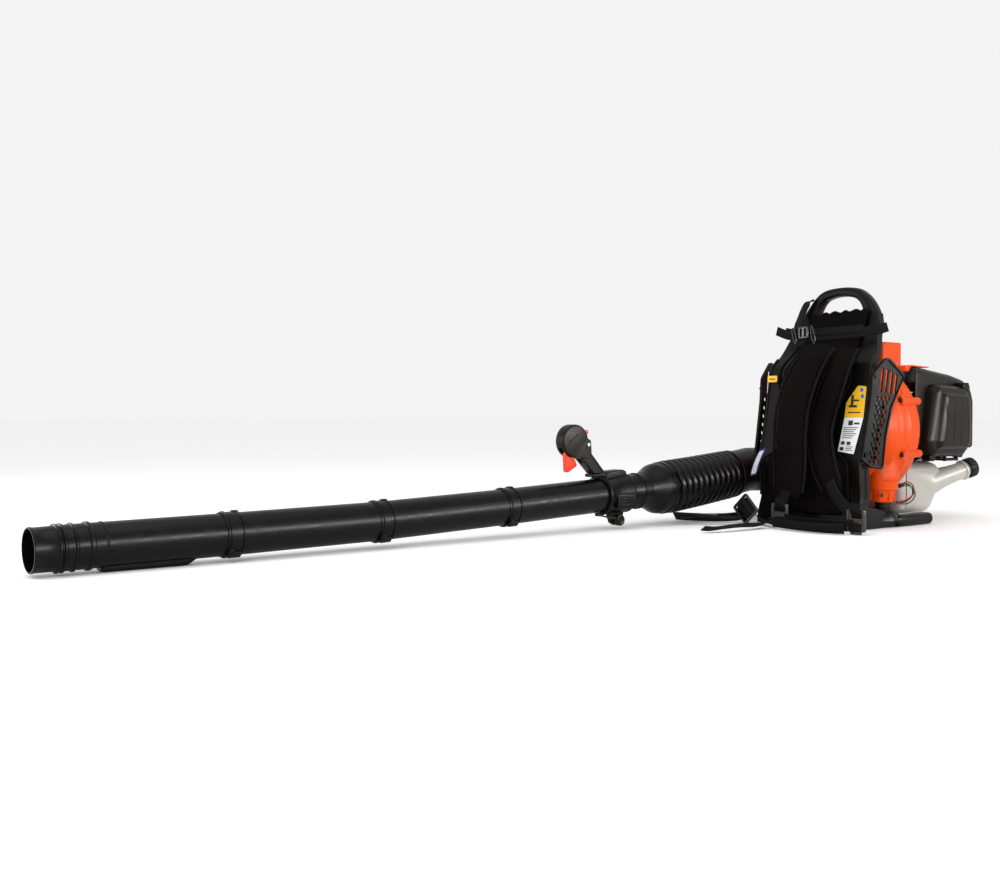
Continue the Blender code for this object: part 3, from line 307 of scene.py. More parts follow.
def fillet(outline, radius, steps=5):
    """The outline with each corner rounded to a radius, or as much of it as its sides allow."""
    made = []
    count = len(outline)
    radii = radius if isinstance(radius, (list, tuple)) else [radius] * count
    for i, point in enumerate(outline):
        here = Vector(point)
        back, ahead = Vector(outline[i - 1]) - here, Vector(outline[(i + 1) % count]) - here
        reach_limit = 0.49 * min(back.length, ahead.length)
        back.normalize()
        ahead.normalize()
        half = math.acos(max(-1, min(1, back.dot(ahead)))) / 2
        reach = min(radii[i] / math.tan(half), reach_limit) if half < 1.5 else 0.0
        if reach < 1e-5:
            made.append(here)
            continue
        turn_radius = reach * math.tan(half)
        centre = here + (back + ahead).normalized() * (turn_radius / math.sin(half))
        first, last = here + back * reach - centre, here + ahead * reach - centre
        angle = first.angle_signed(last)
        for k in range(steps + 1):
            t = -angle * k / steps
            turned_by = Vector((first.x * math.cos(t) - first.y * math.sin(t),
                                first.x * math.sin(t) + first.y * math.cos(t)))
            made.append(centre + turned_by)
    return made


def inset(outline, distance):
    """The outline moved in by a distance, point by point; it is given anticlockwise."""
    made = []
    count = len(outline)
    for i, point in enumerate(outline):
        back = (Vector(point) - Vector(outline[i - 1])).normalized()
        ahead = (Vector(outline[(i + 1) % count]) - Vector(point)).normalized()
        normal = Vector((-back.y - ahead.y, back.x + ahead.x))
        if normal.length < 1e-6:
            normal = Vector((-back.y, back.x))
        normal.normalize()
        lean = max(0.5, normal.dot(Vector((-back.y, back.x))))
        made.append(Vector(point) + normal * distance / lean)
    return made


def area_sign(outline):
    return sum(a[0] * b[1] - b[0] * a[1] for a, b in zip(outline, outline[1:] + outline[:1]))


PLACES = {"x": lambda a, b, c: Vector((c, a, b)), "y": lambda a, b, c: Vector((a, c, b)),
          "z": lambda a, b, c: Vector((a, b, c))}


class Outline:
    """A closed outline with rounded corners, which can be drawn again at a distance inside itself."""

    def __init__(self, corners, radius=0.0, steps=5):
        self.corners = [Vector(p) for p in corners]
        self.radii = list(radius) if isinstance(radius, (list, tuple)) else [radius] * len(corners)
        self.steps = steps
        if area_sign(self.corners) < 0:
            self.corners.reverse()
            self.radii.reverse()

    def inside(self, distance=0.0):
        radii = [max(r - distance, r / 4) for r in self.radii]
        return fillet(inset(self.corners, distance), radii, self.steps)


def layers(outline, plane, levels):
    """A solid from one outline at several (distance in, height) levels."""
    if not isinstance(outline, Outline):
        outline = Outline(outline)
    place = PLACES[plane]
    return loft([[place(p.x, p.y, height) for p in outline.inside(step)] for step, height in levels])


def slab(outline, plane, low, high, edge=0.002, steps=3):
    """A plate whose two rims are rounded over."""
    turns = [math.pi / 2 * i / steps for i in range(steps + 1)]
    rim = [(edge * (1 - math.sin(t)), edge * (1 - math.cos(t))) for t in turns]
    levels = [(a, low + b) for a, b in rim] + [(a, high - b) for a, b in rim[::-1]]
    return layers(outline, plane, levels)


def rectangle(a0, a1, b0, b1):
    return [(a0, b0), (a1, b0), (a1, b1), (a0, b1)]


def block(low, high, edge=0.001, corner=0.002):
    (x0, y0, z0), (x1, y1, z1) = low, high
    return slab(Outline(rectangle(x0, x1, y0, y1), corner, 3), "z", z0, z1, edge, 2)


def smooth_route(points, steps):
    """Points on a Catmull-Rom curve through a route."""
    route = [Vector(p) for p in points]
    route = [2 * route[0] - route[1]] + route + [2 * route[-1] - route[-2]]
    made = []
    for a, b, c, d in zip(route, route[1:], route[2:], route[3:]):
        for i in range(steps):
            t = i / steps
            made.append(0.5 * (2 * b + (c - a) * t + (2 * a - 5 * b + 4 * c - d) * t ** 2
                               + (3 * b - a - 3 * c + d) * t ** 3))
    made.append(route[-2])
    return made


def wire(route, radius, segments=10):
    """A round tube along a route, with closed ends."""
    rings = []
    for i, centre in enumerate(route):
        ahead = route[min(i + 1, len(route) - 1)] - route[max(i - 1, 0)]
        rings.append((centre, ahead.normalized()))
    side = axes_for(rings[0][1])[0]
    made = []
    for centre, along in rings:
        side = (side - along * side.dot(along)).normalized()
        up = along.cross(side)
        made.append([centre + (side * math.cos(t) + up * math.sin(t)) * radius
                     for t in (2 * math.pi * k / segments for k in range(segments))])
    return loft(made)


def along_line(table, z):
    for (z0, v0), (z1, v1) in zip(table, table[1:]):
        if z <= z1:
            return v0 + (v1 - v0) * (z - z0) / (z1 - z0)
    return table[-1][1]


def eased(table, z, reach=0.010, samples=9):
    """The table's line with its corners eased over a short reach."""
    low, high = table[0][0], table[-1][0]
    spread = [z + reach * (2 * i / (samples - 1) - 1) for i in range(samples)]
    return sum(along_line(table, min(high, max(low, s))) for s in spread) / samples


def pipe_point(joint):
    return Vector((PIPE_X, joint[0], joint[1]))


# ---- objects -------------------------------------------------------------------------
def new_object(name, bm, finish, sharp_degrees=40):
    mesh = bpy.data.meshes.new(name)
    bm.to_mesh(mesh)
    bm.free()
    mesh.shade_smooth()
    mesh.set_sharp_from_angle(angle=math.radians(sharp_degrees))
    mesh.materials.append(finish)
    made = bpy.data.objects.new(name, mesh)
    bpy.context.collection.objects.link(made)
    return made


def settle(piece):
    """Apply the piece's modifiers to its mesh."""
    graph = bpy.context.evaluated_depsgraph_get()
    graph.update()
    mesh = bpy.data.meshes.new_from_object(piece.evaluated_get(graph))
    piece.modifiers.clear()
    piece.data = mesh
    return piece


def combine(piece, operation, shapes):
    tools = []
    for shape in shapes:
        tool = new_object("tool", shape, piece.data.materials[0])
        modifier = piece.modifiers.new("Boolean", "BOOLEAN")
        modifier.operation = operation
        modifier.object = tool
        tools.append(tool)
    settle(piece)
    for tool in tools:
        bpy.data.objects.remove(tool, do_unlink=True)
    piece.data.shade_smooth()
    piece.data.set_sharp_from_angle(angle=math.radians(32))
    return piece


def add(piece, *shapes):
    return combine(piece, "UNION", shapes)


def cut(piece, *shapes):
    return combine(piece, "DIFFERENCE", shapes)


def soften(piece, width, segments=2, degrees=45):
    """Round the piece's sharp edges."""
    modifier = piece.modifiers.new("Bevel", "BEVEL")
    modifier.width = width
    modifier.segments = segments
    modifier.limit_method = "ANGLE"
    modifier.angle_limit = math.radians(degrees)
    modifier.use_clamp_overlap = True
    settle(piece)
    piece.data.shade_smooth()
    piece.data.set_sharp_from_angle(angle=math.radians(50))
    return piece


def stand_for(piece, body, slot, *nodes):
    """The piece rides on a body and hides the nodes that it stands for; slot is not used."""
    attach(piece, body)
    if nodes:
        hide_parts(*nodes)
    return piece


# ---- backpack frame ------------------------------------------------------------------
def frame_half_width(z):
    return eased([(0.0, FRAME_HALF), (0.34, FRAME_HALF), (0.43, 0.105), (0.46, 0.097)], z)


def front_y(z):
    return eased(FRONT_LINE, z)


def frame_section(half, front, depth, z):
    """The channel's outline at one height, with rounded front corners."""
    wall = 0.005
    points = [(-half, depth), (-half, 0), (half, 0), (half, depth), (half - wall, depth),
              (half - wall, wall), (wall - half, wall), (wall - half, depth)]
    radii = [0.001, 0.006, 0.006, 0.001, 0.001, 0.004, 0.004, 0.001]
    return [Vector((p.x, front + p.y, z)) for p in fillet(points, radii, 4)]


def make_frame():
    rings = []
    steps = 46
    for i in range(steps + 1):
        z = 0.452 * i / steps
        depth = eased([(0.0, 0.030), (0.135, 0.030), (0.150, 0.022), (0.46, 0.022)], z, 0.004)
        rings.append(frame_section(frame_half_width(z), front_y(z), depth, z))
    frame_piece = new_object("frame_moulding", loft(rings), BLACK)

    base_side = Outline([(-0.1225, 0.0), (0.044, 0.0), (0.057, 0.008), (0.058, 0.0225), (0.044, 0.0245),
                        (-0.010, 0.033), (-0.05, 0.042), (-0.1145, 0.055)],
                       [0.008, 0.014, 0.008, 0.008, 0.01, 0.05, 0.05, 0.01], 6)
    parts = [slab(base_side, "x", -0.1296, 0.1296, 0.007, 4)]
    for side in (-1, 1):
        foot = Outline([(side * 0.100, 0.010), (side * 0.1378, 0.010), (side * 0.1378, 0.134),
                       (side * 0.129, 0.153), (side * 0.109, 0.153), (side * 0.100, 0.142)], 0.012, 5)
        parts.append(slab(foot, "z", 0.0, 0.0235, 0.009, 5))
        saddle = [(0.0, 0.036), (0.010, 0.034), (0.018, 0.027), (0.022, 0.0215), (0.0245, 0.0205),
                  (0.026, 0.0185)]
        parts.append(turned(saddle, (side * 0.106, -0.010, 0.0145), (0, 0, 1), 36))
    arch = [(0.092, 0.395, 0.0205, 0.0140), (0.089, 0.420, 0.0195, 0.0150), (0.0810, 0.445, 0.0165, 0.0155),
            (0.0705, 0.467, 0.0138, 0.0155), (0.0560, 0.4875, 0.0112, 0.0150),
            (0.036, 0.5000, 0.0108, 0.0145), (0.0, 0.5045, 0.0100, 0.0140)]
    path = [(-x, z, t, d) for x, z, t, d in arch] + arch[-2::-1]
    knots = smooth_route([(x, 0, z) for x, z, _, _ in path], 6)
    sizes = smooth_route([(t, d, 0) for _, _, t, d in path], 6)
    rings = []
    for i, (knot, size) in enumerate(zip(knots, sizes)):
        ahead = knots[min(i + 1, len(knots) - 1)] - knots[max(i - 1, 0)]
        out = Vector((-ahead.z, 0, ahead.x)).normalized()
        centre = Vector((knot.x, front_y(knot.z) + 0.016, knot.z))
        ring = []
        for k in range(28):
            t = 2 * math.pi * k / 28
            # a squarish section: the superellipse of power 3
            c, s = math.cos(t), math.sin(t)
            ring.append(centre + out * size.x * math.copysign(abs(c) ** 0.6, c)
                        + Vector((0, size.y * math.copysign(abs(s) ** 0.6, s), 0)))
        rings.append(ring)
    parts.append(loft(rings))
    add(frame_piece, *parts)

    pockets = [block((x0, y0, -0.01), (x1, y1, 0.017), 0.002, 0.004)
               for x0, x1 in ((-0.122, -0.008), (0.008, 0.122)) for y0, y1 in ((-0.106, -0.040), (-0.032, 0.038))]
    for side in (-1, 1):
        # a long recess on each foot's flank, and one down each side of the channel
        x0, x1 = sorted((side * 0.1362, side * 0.150))
        pockets.append(slab(Outline(rectangle(0.068, 0.136, 0.0065, 0.0170), 0.005, 5), "x", x0, x1, 0.0005, 1))
        x0, x1 = sorted((side * 0.1285, side * 0.150))
        pockets.append(slab(Outline([(-0.106, 0.064), (-0.094, 0.064), (-0.098, 0.122), (-0.109, 0.122)],
                                   0.004, 5), "x", x0, x1, 0.0005, 1))
    cut(frame_piece, *pockets)
    stand_for(frame_piece, "pack", "black_plastic", "backpack_frame")


def edge_trim():
    """The rolled edge that runs up both front corners of the frame, lighter grey than the frame: a real lip with a
    painted highlight along it.
    """
    for side, name in ((-1, "right"), (1, "left")):
        route = []
        for i in range(40):
            z = 0.060 + (0.360 - 0.060) * i / 39
            route.append(Vector((side * (frame_half_width(z) - 0.0022), front_y(z) - 0.0002, z)))
        trim = new_object(f"frame_edge_{name}", wire(route, 0.0026, 10), GREY)
        stand_for(trim, "pack", "dark_grey_plastic")


# ---- side grilles --------------------------------------------------------------------
def grille_x(y):
    return 0.1345 + 0.186 * (y + 0.12)


def leaning(points, side, inner, outer):
    return loft([[Vector((side * (grille_x(p[0]) + shift), p[0], p[1])) for p in points]
                 for shift in (inner, outer)])


def make_grille(name, side, node):
    outline = fillet([(-0.1246, 0.145), (-0.098, 0.128), (-0.0670, 0.1245), (-0.0590, 0.189),
                      (-0.0410, 0.256), (-0.0070, 0.320), (-0.0560, 0.358), (-0.0970, 0.318),
                      (-0.101, 0.267)], [0.004, 0.02, 0.006, 0.05, 0.05, 0.006, 0.012, 0.02, 0.02], 5)
    grille = new_object(name, leaning(outline, side, 0, 0.003), GRILLE)
    holes = bmesh.new()

    def punch(points):
        part = leaning(points, side, -0.01, 0.02)
        mesh = bpy.data.meshes.new("hole")
        part.to_mesh(mesh)
        part.free()
        holes.from_mesh(mesh)
        bpy.data.meshes.remove(mesh)

    pitch, hole = 0.0108, 0.0050
    for row in range(15):
        z = 0.140 + row * pitch * math.sqrt(3) / 2
        front = along_line([(0.12, -0.104), (0.145, -0.110), (0.267, -0.090), (0.31, -0.084)], z)
        rear = along_line([(0.12, -0.073), (0.189, -0.064), (0.256, -0.047), (0.32, -0.020)], z)
        for column in range(6):
            y = front + 0.006 + (column + 0.5 * (row % 2)) * pitch
            if y > rear - 0.0075:
                break
            turns = [math.pi / 3 * i + math.pi / 6 for i in range(6)]
            punch(fillet([(y + hole * math.cos(t), z + hole * math.sin(t)) for t in turns], 0.0014, 2))
    # long slots fan out over the upper corner
    for i in range(4):
        y = -0.076 + 0.0125 * i
        low, high = 0.283 - 0.0015 * i, 0.333 - 0.0045 * i
        punch(fillet([(y, low), (y + 0.0072, low + 0.001), (y + 0.0135, high), (y + 0.0065, high + 0.004)],
                     0.0025, 3))
    cut(grille, holes)
    stand_for(grille, "pack", "dark_grey_plastic", node)

    # a dark sheet behind the holes, painted shade that keeps them dark, a raised rim on the outline, and the bolt
    # heads
    shade_sheet = leaning([(-0.112, 0.142), (-0.076, 0.136), (-0.070, 0.190), (-0.054, 0.256), (-0.060, 0.272),
                     (-0.086, 0.272), (-0.092, 0.262)], side, -0.0060, -0.0045)
    stand_for(new_object(name + "_liner", shade_sheet, BLACK), "pack", "dark_grey_plastic")
    centre = Vector((-0.07, 0.235))
    outer = [Vector(p) for p in outline]
    inner = [p + (centre - p).normalized() * 0.0052 for p in outer]
    rings = []
    for points, height in ((outer, 0.0032), (outer, 0.0058), (inner, 0.0058), (inner, 0.0032)):
        rings.append([Vector((side * (grille_x(p.x) + height), p.x, p.y)) for p in points])
    rim = new_object(name + "_rim", loft(rings, True), GRILLE)
    soften(rim, 0.0008, 2)
    stand_for(rim, "pack", "dark_grey_plastic")
    for i, (y, z) in enumerate(((-0.0900, 0.3150), (-0.1120, 0.1550), (-0.0975, 0.2950))):
        x = grille_x(y)
        size = (0.0052, 0.0052, 0.0034)[i]
        bolt = turned([(0, size), (0.0022, size), (0.0034, size * 0.8), (0.0034, size * 0.45),
                       (0.0022, size * 0.42)], (side * (x + 0.0028), y, z), (side, 0, 0), 20)
        bolt = new_object(f"{name}_bolt_{i}", bolt, BLACK)
        stand_for(bolt, "pack", "dark_grey_plastic")


# ---- fan housing ---------------------------------------------------------------------
def drum_profile():
    """The housing's outside, rounded over, with two raised rings round its widest part."""
    base = [(-0.0660, 0.110), (-0.0655, 0.118), (-0.060, 0.131), (-0.049, 0.1405), (-0.035, 0.148),
            (-0.020, 0.1535), (-0.006, 0.1562), (0.012, 0.1570), (0.030, 0.1568), (0.050, 0.1562),
            (0.060, 0.1535), (0.068, 0.1470), (0.0715, 0.138), (0.0715, 0.120)]
    made = []
    for (y0, r0), (y1, r1) in zip(base, base[1:]):
        for k in range(5):
            t = k / 5
            y, r = y0 + (y1 - y0) * t, r0 + (r1 - r0) * t
            ring = sum(0.0030 * math.exp(-((y - at) / 0.0042) ** 2) for at in (-0.024, 0.020))
            made.append((y, r + ring))
    return made + [base[-1]]


def make_housing(name, front, node):
    outer = drum_profile()
    inner = [(y * 0.955, r - 0.0045) for y, r in outer]
    centre = (0, 0, FAN_Z)
    half = new_object(name, turned(outer, centre, (0, 1, 0), 96), ORANGE)
    outlet = (0, OUTLET_Y, OUTLET_Z)
    parts = [turned([(0.06, 0.054), (0.150, 0.054), (0.153, 0.0575), (-OUTLET_X - 0.001, 0.0575),
                     (-OUTLET_X, 0.0565)], outlet, (-1, 0, 0), 48)]
    for side in (-1, 1):
        # each foot is a short drum on its rubber mount, with a ledge round its shoulder
        foot = [(0.0, 0.0245), (0.0015, 0.0260), (0.0110, 0.0275), (0.0250, 0.0300), (0.0262, 0.0345),
                (0.0290, 0.0355), (0.0310, 0.0345), (0.0455, 0.0365), (0.0480, 0.0400), (0.0510, 0.0400),
                (0.0530, 0.0385), (0.075, 0.0370), (0.115, 0.0350)]
        parts.append(turned(foot, (side * 0.105, -0.008, 0.0530), (0, 0, 1), 48))
        for i in range(4):
            turn = math.radians(-100 + 40 * i)
            out = Vector((side * math.cos(turn), math.sin(turn), 0))
            at = Vector((side * 0.105, -0.008, 0)) + out * 0.0290
            parts.append(rod(at + Vector((0, 0, 0.0560)), at + Vector((0, 0, 0.0800)), 0.0016, 8))
    if not front:
        tower = Outline(rectangle(0.029, 0.102, 0.003, 0.072), 0.006, 4)
        parts.append(slab(tower, "z", 0.300, 0.392, 0.003, 3))
        tongue = Outline([(0.058, 0.330), (0.058, 0.3425), (0.080, 0.3440), (0.148, 0.3415),
                         (0.148, 0.3392), (0.080, 0.3412), (0.070, 0.330)], 0.001, 2)
        parts.append(slab(tongue, "x", 0.034, 0.120, 0.001, 2))
    for degrees in (23, -19, 128, -128):
        turn = math.radians(degrees)
        out = Vector((math.cos(turn), 0, math.sin(turn)))
        at = out * 0.1545 + Vector((0, 0, FAN_Z))
        if not front:
            parts.append(turned([(0, 0.0088), (0.0690, 0.0084), (0.0715, 0.0066)], at, (0, 1, 0), 24))
            across = Vector((-out.z, 0, out.x))
            pad = [at + across * a + out * b for a, b in ((-0.0125, -0.010), (0.0125, -0.010), (0.0105, 0.0085),
                                                          (-0.0105, 0.0085))]
            parts.append(loft([[p + Vector((0, y, 0)) for p in pad] for y in (0.0005, 0.0120)]))
    add(half, *parts)
    soften(half, 0.0012, 2, 60)
    hollows = [turned(inner, centre, (0, 1, 0), 72),
               turned([(0.03, 0.0512), (0.18, 0.0512)], outlet, (-1, 0, 0), 48)]
    if front:
        hollows += [turned([(-0.09, 0.0785), (-0.05, 0.0785)], centre, (0, 1, 0), 48),
                    block((-0.3, -0.0002, -0.1), (0.3, 0.3, 0.6))]
    else:
        hollows += [turned([(0.05, 0.030), (0.09, 0.030)], centre, (0, 1, 0), 32),
                    slab(Outline(rectangle(0.033, 0.098, 0.007, 0.068), 0.004, 3), "z", 0.290, 0.389, 0.002, 2),
                    block((-0.3, -0.3, -0.1), (0.3, 0.0002, 0.6))]
    cut(half, *hollows)
    stand_for(half, "pack", "orange_plastic", node)


def housing_details():
    """Dark discs on the bosses and feet: painted shade of their bolt recesses."""
    for i, degrees in enumerate((23, -19)):
        turn = math.radians(degrees)
        out = Vector((math.cos(turn), 0, math.sin(turn)))
        at = out * 0.1585 + Vector((0, -0.0045, FAN_Z))
        # a dark disc on each boss: painted shade of its bolt recess
        socket = turned([(0, 0.0046), (0.0012, 0.0052), (0.0052, 0.0052), (0.0062, 0.0040)],
                        at, (0, 1, 0), 20)
        stand_for(new_object(f"housing_bolt_{i}", socket, RECESS_SHADE), "pack", "orange_plastic")
    for i, side in enumerate((-1, 1)):
        face = Vector((side * 0.105, -0.008, 0.069)) + Vector((side * 0.55, -0.83, 0)).normalized() * 0.0282
        out = Vector((side * 0.55, -0.83, 0)).normalized()
        # a dark disc on each foot: painted shade of its bolt recess
        socket = turned([(0, 0.0052), (0.0012, 0.0052), (0.0016, 0.0040)], face, out, 20)
        stand_for(new_object(f"foot_bolt_{i}", socket, RECESS_SHADE), "pack", "orange_plastic")


def make_rubber_mounts():
    for side, name in ((-1, "left"), (1, "right")):
        profile = [(0.0, 0.0150), (0.0012, 0.0165), (0.0035, 0.0165), (0.0050, 0.0150), (0.0070, 0.0150),
                   (0.0085, 0.0165), (0.0112, 0.0165), (0.0120, 0.0150)]
        mount = new_object(f"rubber_mount_{name}", turned(profile, (side * 0.110, -0.008, 0.0405),
                                                          (0, 0, 1), 32), RUBBER)
        stand_for(mount, "pack", "black_rubber", f"anti_vibration_mount_{name}")


# ---- engine cover, filter, starter, tank ---------------------------------------------
HOOD_TOP = [(0.0765, 0.342), (0.125, 0.338), (0.232, 0.326), (0.282, 0.316), (0.314, 0.296),
            (0.325, 0.268)]
FILTER_OUTLINE = [(0.1295, 0.3035), (0.1045, 0.1800), (0.1130, 0.1460), (0.2400, 0.1430), (0.2690, 0.1650),
                  (0.2665, 0.2740), (0.2500, 0.2990)]
FILTER_SHAPE = Outline(FILTER_OUTLINE, 0.022, 6)


def make_hood():
    side = [(0.0735, 0.160), (0.0735, 0.3425)] + HOOD_TOP[1:] + [(0.325, 0.160)]
    outline = Outline(side, [0.008, 0.018, 0.04, 0.05, 0.03, 0.03, 0.03, 0.008], 5)
    hood = new_object("engine_hood", slab(outline, "x", -0.128, 0.128, 0.016, 5), GREY)
    inside = [(0.05, 0.10), (0.05, 0.3392), (0.0785, 0.3388), (0.1245, 0.3349), (0.2313, 0.3229),
              (0.2805, 0.3132), (0.3115, 0.2938), (0.3219, 0.2672), (0.3219, 0.10)]
    hollows = [slab(Outline(inside, 0.014, 3), "x", -0.1245, 0.1245, 0.012, 3),
               turned([(0, 0.0830), (0.13, 0.0830)], (0, 0.235, FAN_Z), (0, 1, 0), 64),
               slab(Outline(FILTER_OUTLINE, 0.016, 5), "x", 0.10, 0.15, 0.001, 1),
               turned([(0, 0.015), (0.03, 0.015)], (-0.14, 0.180, 0.265), (1, 0, 0), 32),
               block((-0.14, 0.050, 0.150), (0.14, 0.085, 0.330))]
    for i in range(6):
        y = 0.120 + 0.026 * i
        hollows.append(slab(Outline([(y, 0.185), (y + 0.014, 0.185), (y + 0.019, 0.222), (y + 0.005, 0.222)],
                                   0.003, 3), "x", -0.14, -0.12, 0.0005, 1))
    for i in range(5):
        x = -0.060 + 0.030 * i
        hollows.append(slab(Outline(rectangle(x - 0.0085, x + 0.0085, 0.282, 0.2905), 0.003, 3), "y",
                            0.305, 0.345, 0.0005, 1))
    grip_window = Outline(rectangle(0.2570, 0.3130, FAN_Z + 0.027, FAN_Z + 0.053), 0.006, 4)
    hollows.append(slab(grip_window, "x", -0.14, -0.12, 0.0005, 1))
    cut(hood, *hollows)
    stand_for(hood, "pack", "dark_grey_plastic", "engine_cover")
    # a shallow raised spine along the hood's roof
    for i, x in enumerate((-0.062, 0.0, 0.062)):
        route = smooth_route([(x, y, z + 0.0006) for y, z in [(0.100, 0.3400)] + HOOD_TOP[1:4]], 5)
        spine = new_object(f"hood_rib_{i}", wire(route, 0.0022, 8), GREY)
        stand_for(spine, "pack", "dark_grey_plastic")


def make_filter():
    levels = [(0.0020, 0.0986), (0.0, 0.1000), (0.0, 0.1150), (0.0022, 0.1163), (0.0022, 0.1195),
              (0.0005, 0.1210), (0.0010, 0.1400), (0.0040, 0.1475), (0.0085, 0.1518), (0.0130, 0.1530),
              (0.0165, 0.1534), (0.0185, 0.1552), (0.0200, 0.1600), (0.0235, 0.1634), (0.0290, 0.1650)]
    cover = new_object("filter_cover", layers(FILTER_SHAPE, "x", levels), GREY, 50)
    # inside, hollow down to the rim
    hollow = layers(FILTER_SHAPE, "x", [(0.0040, 0.090), (0.0050, 0.1440), (0.0150, 0.1490),
                                               (0.0240, 0.1590)])
    grooves = [hollow]
    for i in range(4):
        y = 0.1420 + 0.0290 * i
        grooves.append(slab(Outline([(y, 0.166), (y + 0.0035, 0.166), (y + 0.0065, 0.284), (y + 0.0030, 0.284)],
                                   0.0015, 3), "x", 0.1635, 0.170, 0.0004, 1))
    cut(cover, *grooves)
    stand_for(cover, "filter_lid", "dark_grey_plastic", "air_filter_cover")
    tabs = []
    for i, (y, wide, deep) in enumerate(((0.1290, 0.022, 0.1360), (0.1650, 0.016, 0.1400), (0.2440, 0.014, 0.1420))):
        tab = slab(Outline([(y - wide / 2, 0.1500), (y - wide / 2 + 0.003, deep), (y + wide / 2 - 0.003, deep),
                           (y + wide / 2, 0.1500)], 0.004, 4), "x", 0.1200, 0.1420, 0.002, 3)
        tabs.append(stand_for(new_object(f"filter_tab_{i}", tab, BLACK), "filter_lid", "dark_grey_plastic"))
    top_clip = slab(Outline([(0.2385, 0.2960), (0.2400, 0.3080), (0.2600, 0.3080), (0.2660, 0.2950),
                            (0.2590, 0.2850)], 0.003, 4), "x", 0.1284, 0.1490, 0.002, 3)
    stand_for(new_object("filter_top_clip", top_clip, BLACK), "filter_lid", "dark_grey_plastic")
    plate = [(0.0025, 0.0922), (0.0015, 0.0930), (0.0015, 0.0972), (0.0025, 0.0980)]
    base = new_object("filter_base", layers(FILTER_SHAPE, "x", plate), BLACK)
    cut(base, rod((0.08, ENGINE_Y, 0.266), (0.11, ENGINE_Y, 0.266), 0.009))
    stand_for(base, "pack", "dark_grey_plastic", "air_filter_base")
    block_levels = [(0.019, 0.0992), (0.016, 0.102), (0.016, 0.123), (0.019, 0.126)]
    element = new_object("filter_foam_block", layers(FILTER_SHAPE, "x", block_levels), FOAM)
    stand_for(element, "pack", "filter_foam", "air_filter_element")
    latch = new_object("filter_latch", rod((0.138, 0.1855, 0.1385), (0.138, 0.2245, 0.1385), 0.0034, 20), BLACK)
    clip = Outline([(0.1000, 0.1354), (0.1380, 0.1354), (0.1380, 0.1384), (0.1080, 0.1384), (0.1020, 0.1376)],
                  0.0008, 2)
    add(latch, slab(clip, "y", 0.1885, 0.2215, 0.0008, 2))
    stand_for(latch, "filter_latch", "dark_grey_plastic", "filter_cover_latch")
    for i, y in enumerate((0.1790, 0.2255)):
        lugs = slab(Outline(rectangle(0.1332, 0.1418, 0.1348, 0.1480), 0.0025, 3), "y", y, y + 0.0055, 0.0008, 2)
        stand_for(new_object(f"latch_lug_{i}", lugs, GREY), "filter_lid", "dark_grey_plastic")


def make_starter():
    centre = (0, 0, FAN_Z)
    shell = [(0.2400, 0.0795), (0.2410, 0.0802), (0.318, 0.0802), (0.324, 0.0790), (0.3290, 0.0755),
             (0.3318, 0.0710), (0.3330, 0.0655)]
    housing = new_object("starter_cover", turned(shell, centre, (0, 1, 0), 72), BLACK)
    cuts = [turned([(0.22, 0.077), (0.318, 0.077), (0.3295, 0.066)], centre, (0, 1, 0), 48),
            rod((-0.10, 0.285, FAN_Z + 0.040), (-0.05, 0.285, FAN_Z + 0.040), 0.0034)]
    for i in range(16):
        turn = 2 * math.pi * i / 16
        along = Vector((math.cos(turn), 0, math.sin(turn)))
        across = Vector((-along.z, 0, along.x))
        ring = [Vector((0, 0, FAN_Z)) + along * a + across * b for a, b in (
            (0.026, -0.0022), (0.058, -0.0040), (0.0605, 0.0), (0.058, 0.0040), (0.026, 0.0022))]
        cuts.append(loft([[p + Vector((0, y, 0)) for p in ring] for y in (0.31, 0.35)]))
    cut(housing, *cuts)
    stand_for(housing, "pack", "black_plastic", "starter_housing")
    hub = new_object("starter_hub", turned([(0.3325, 0.0215), (0.3342, 0.0205), (0.3350, 0.0180),
                                            (0.3345, 0.0080)], centre, (0, 1, 0), 40), GREY)
    stand_for(hub, "pack", "black_plastic")
    z = FAN_Z + 0.040
    side = Outline([(-0.0862, z - 0.0085), (-0.0862, z + 0.0085), (-0.0965, z + 0.0085), (-0.1038, z + 0.0050),
                   (-0.1038, z - 0.0050), (-0.0965, z - 0.0085)], 0.003, 4)
    grip = new_object("pull_handle", slab(side, "y", 0.2622, 0.3078, 0.004, 3), RUBBER)
    add(grip, wire([Vector((-0.090, 0.285, z)), Vector((-0.04, 0.285, z)), Vector((0.020, 0.285, z))], 0.0018))
    stand_for(grip, "starter_grip", "black_rubber", "starter_handle")


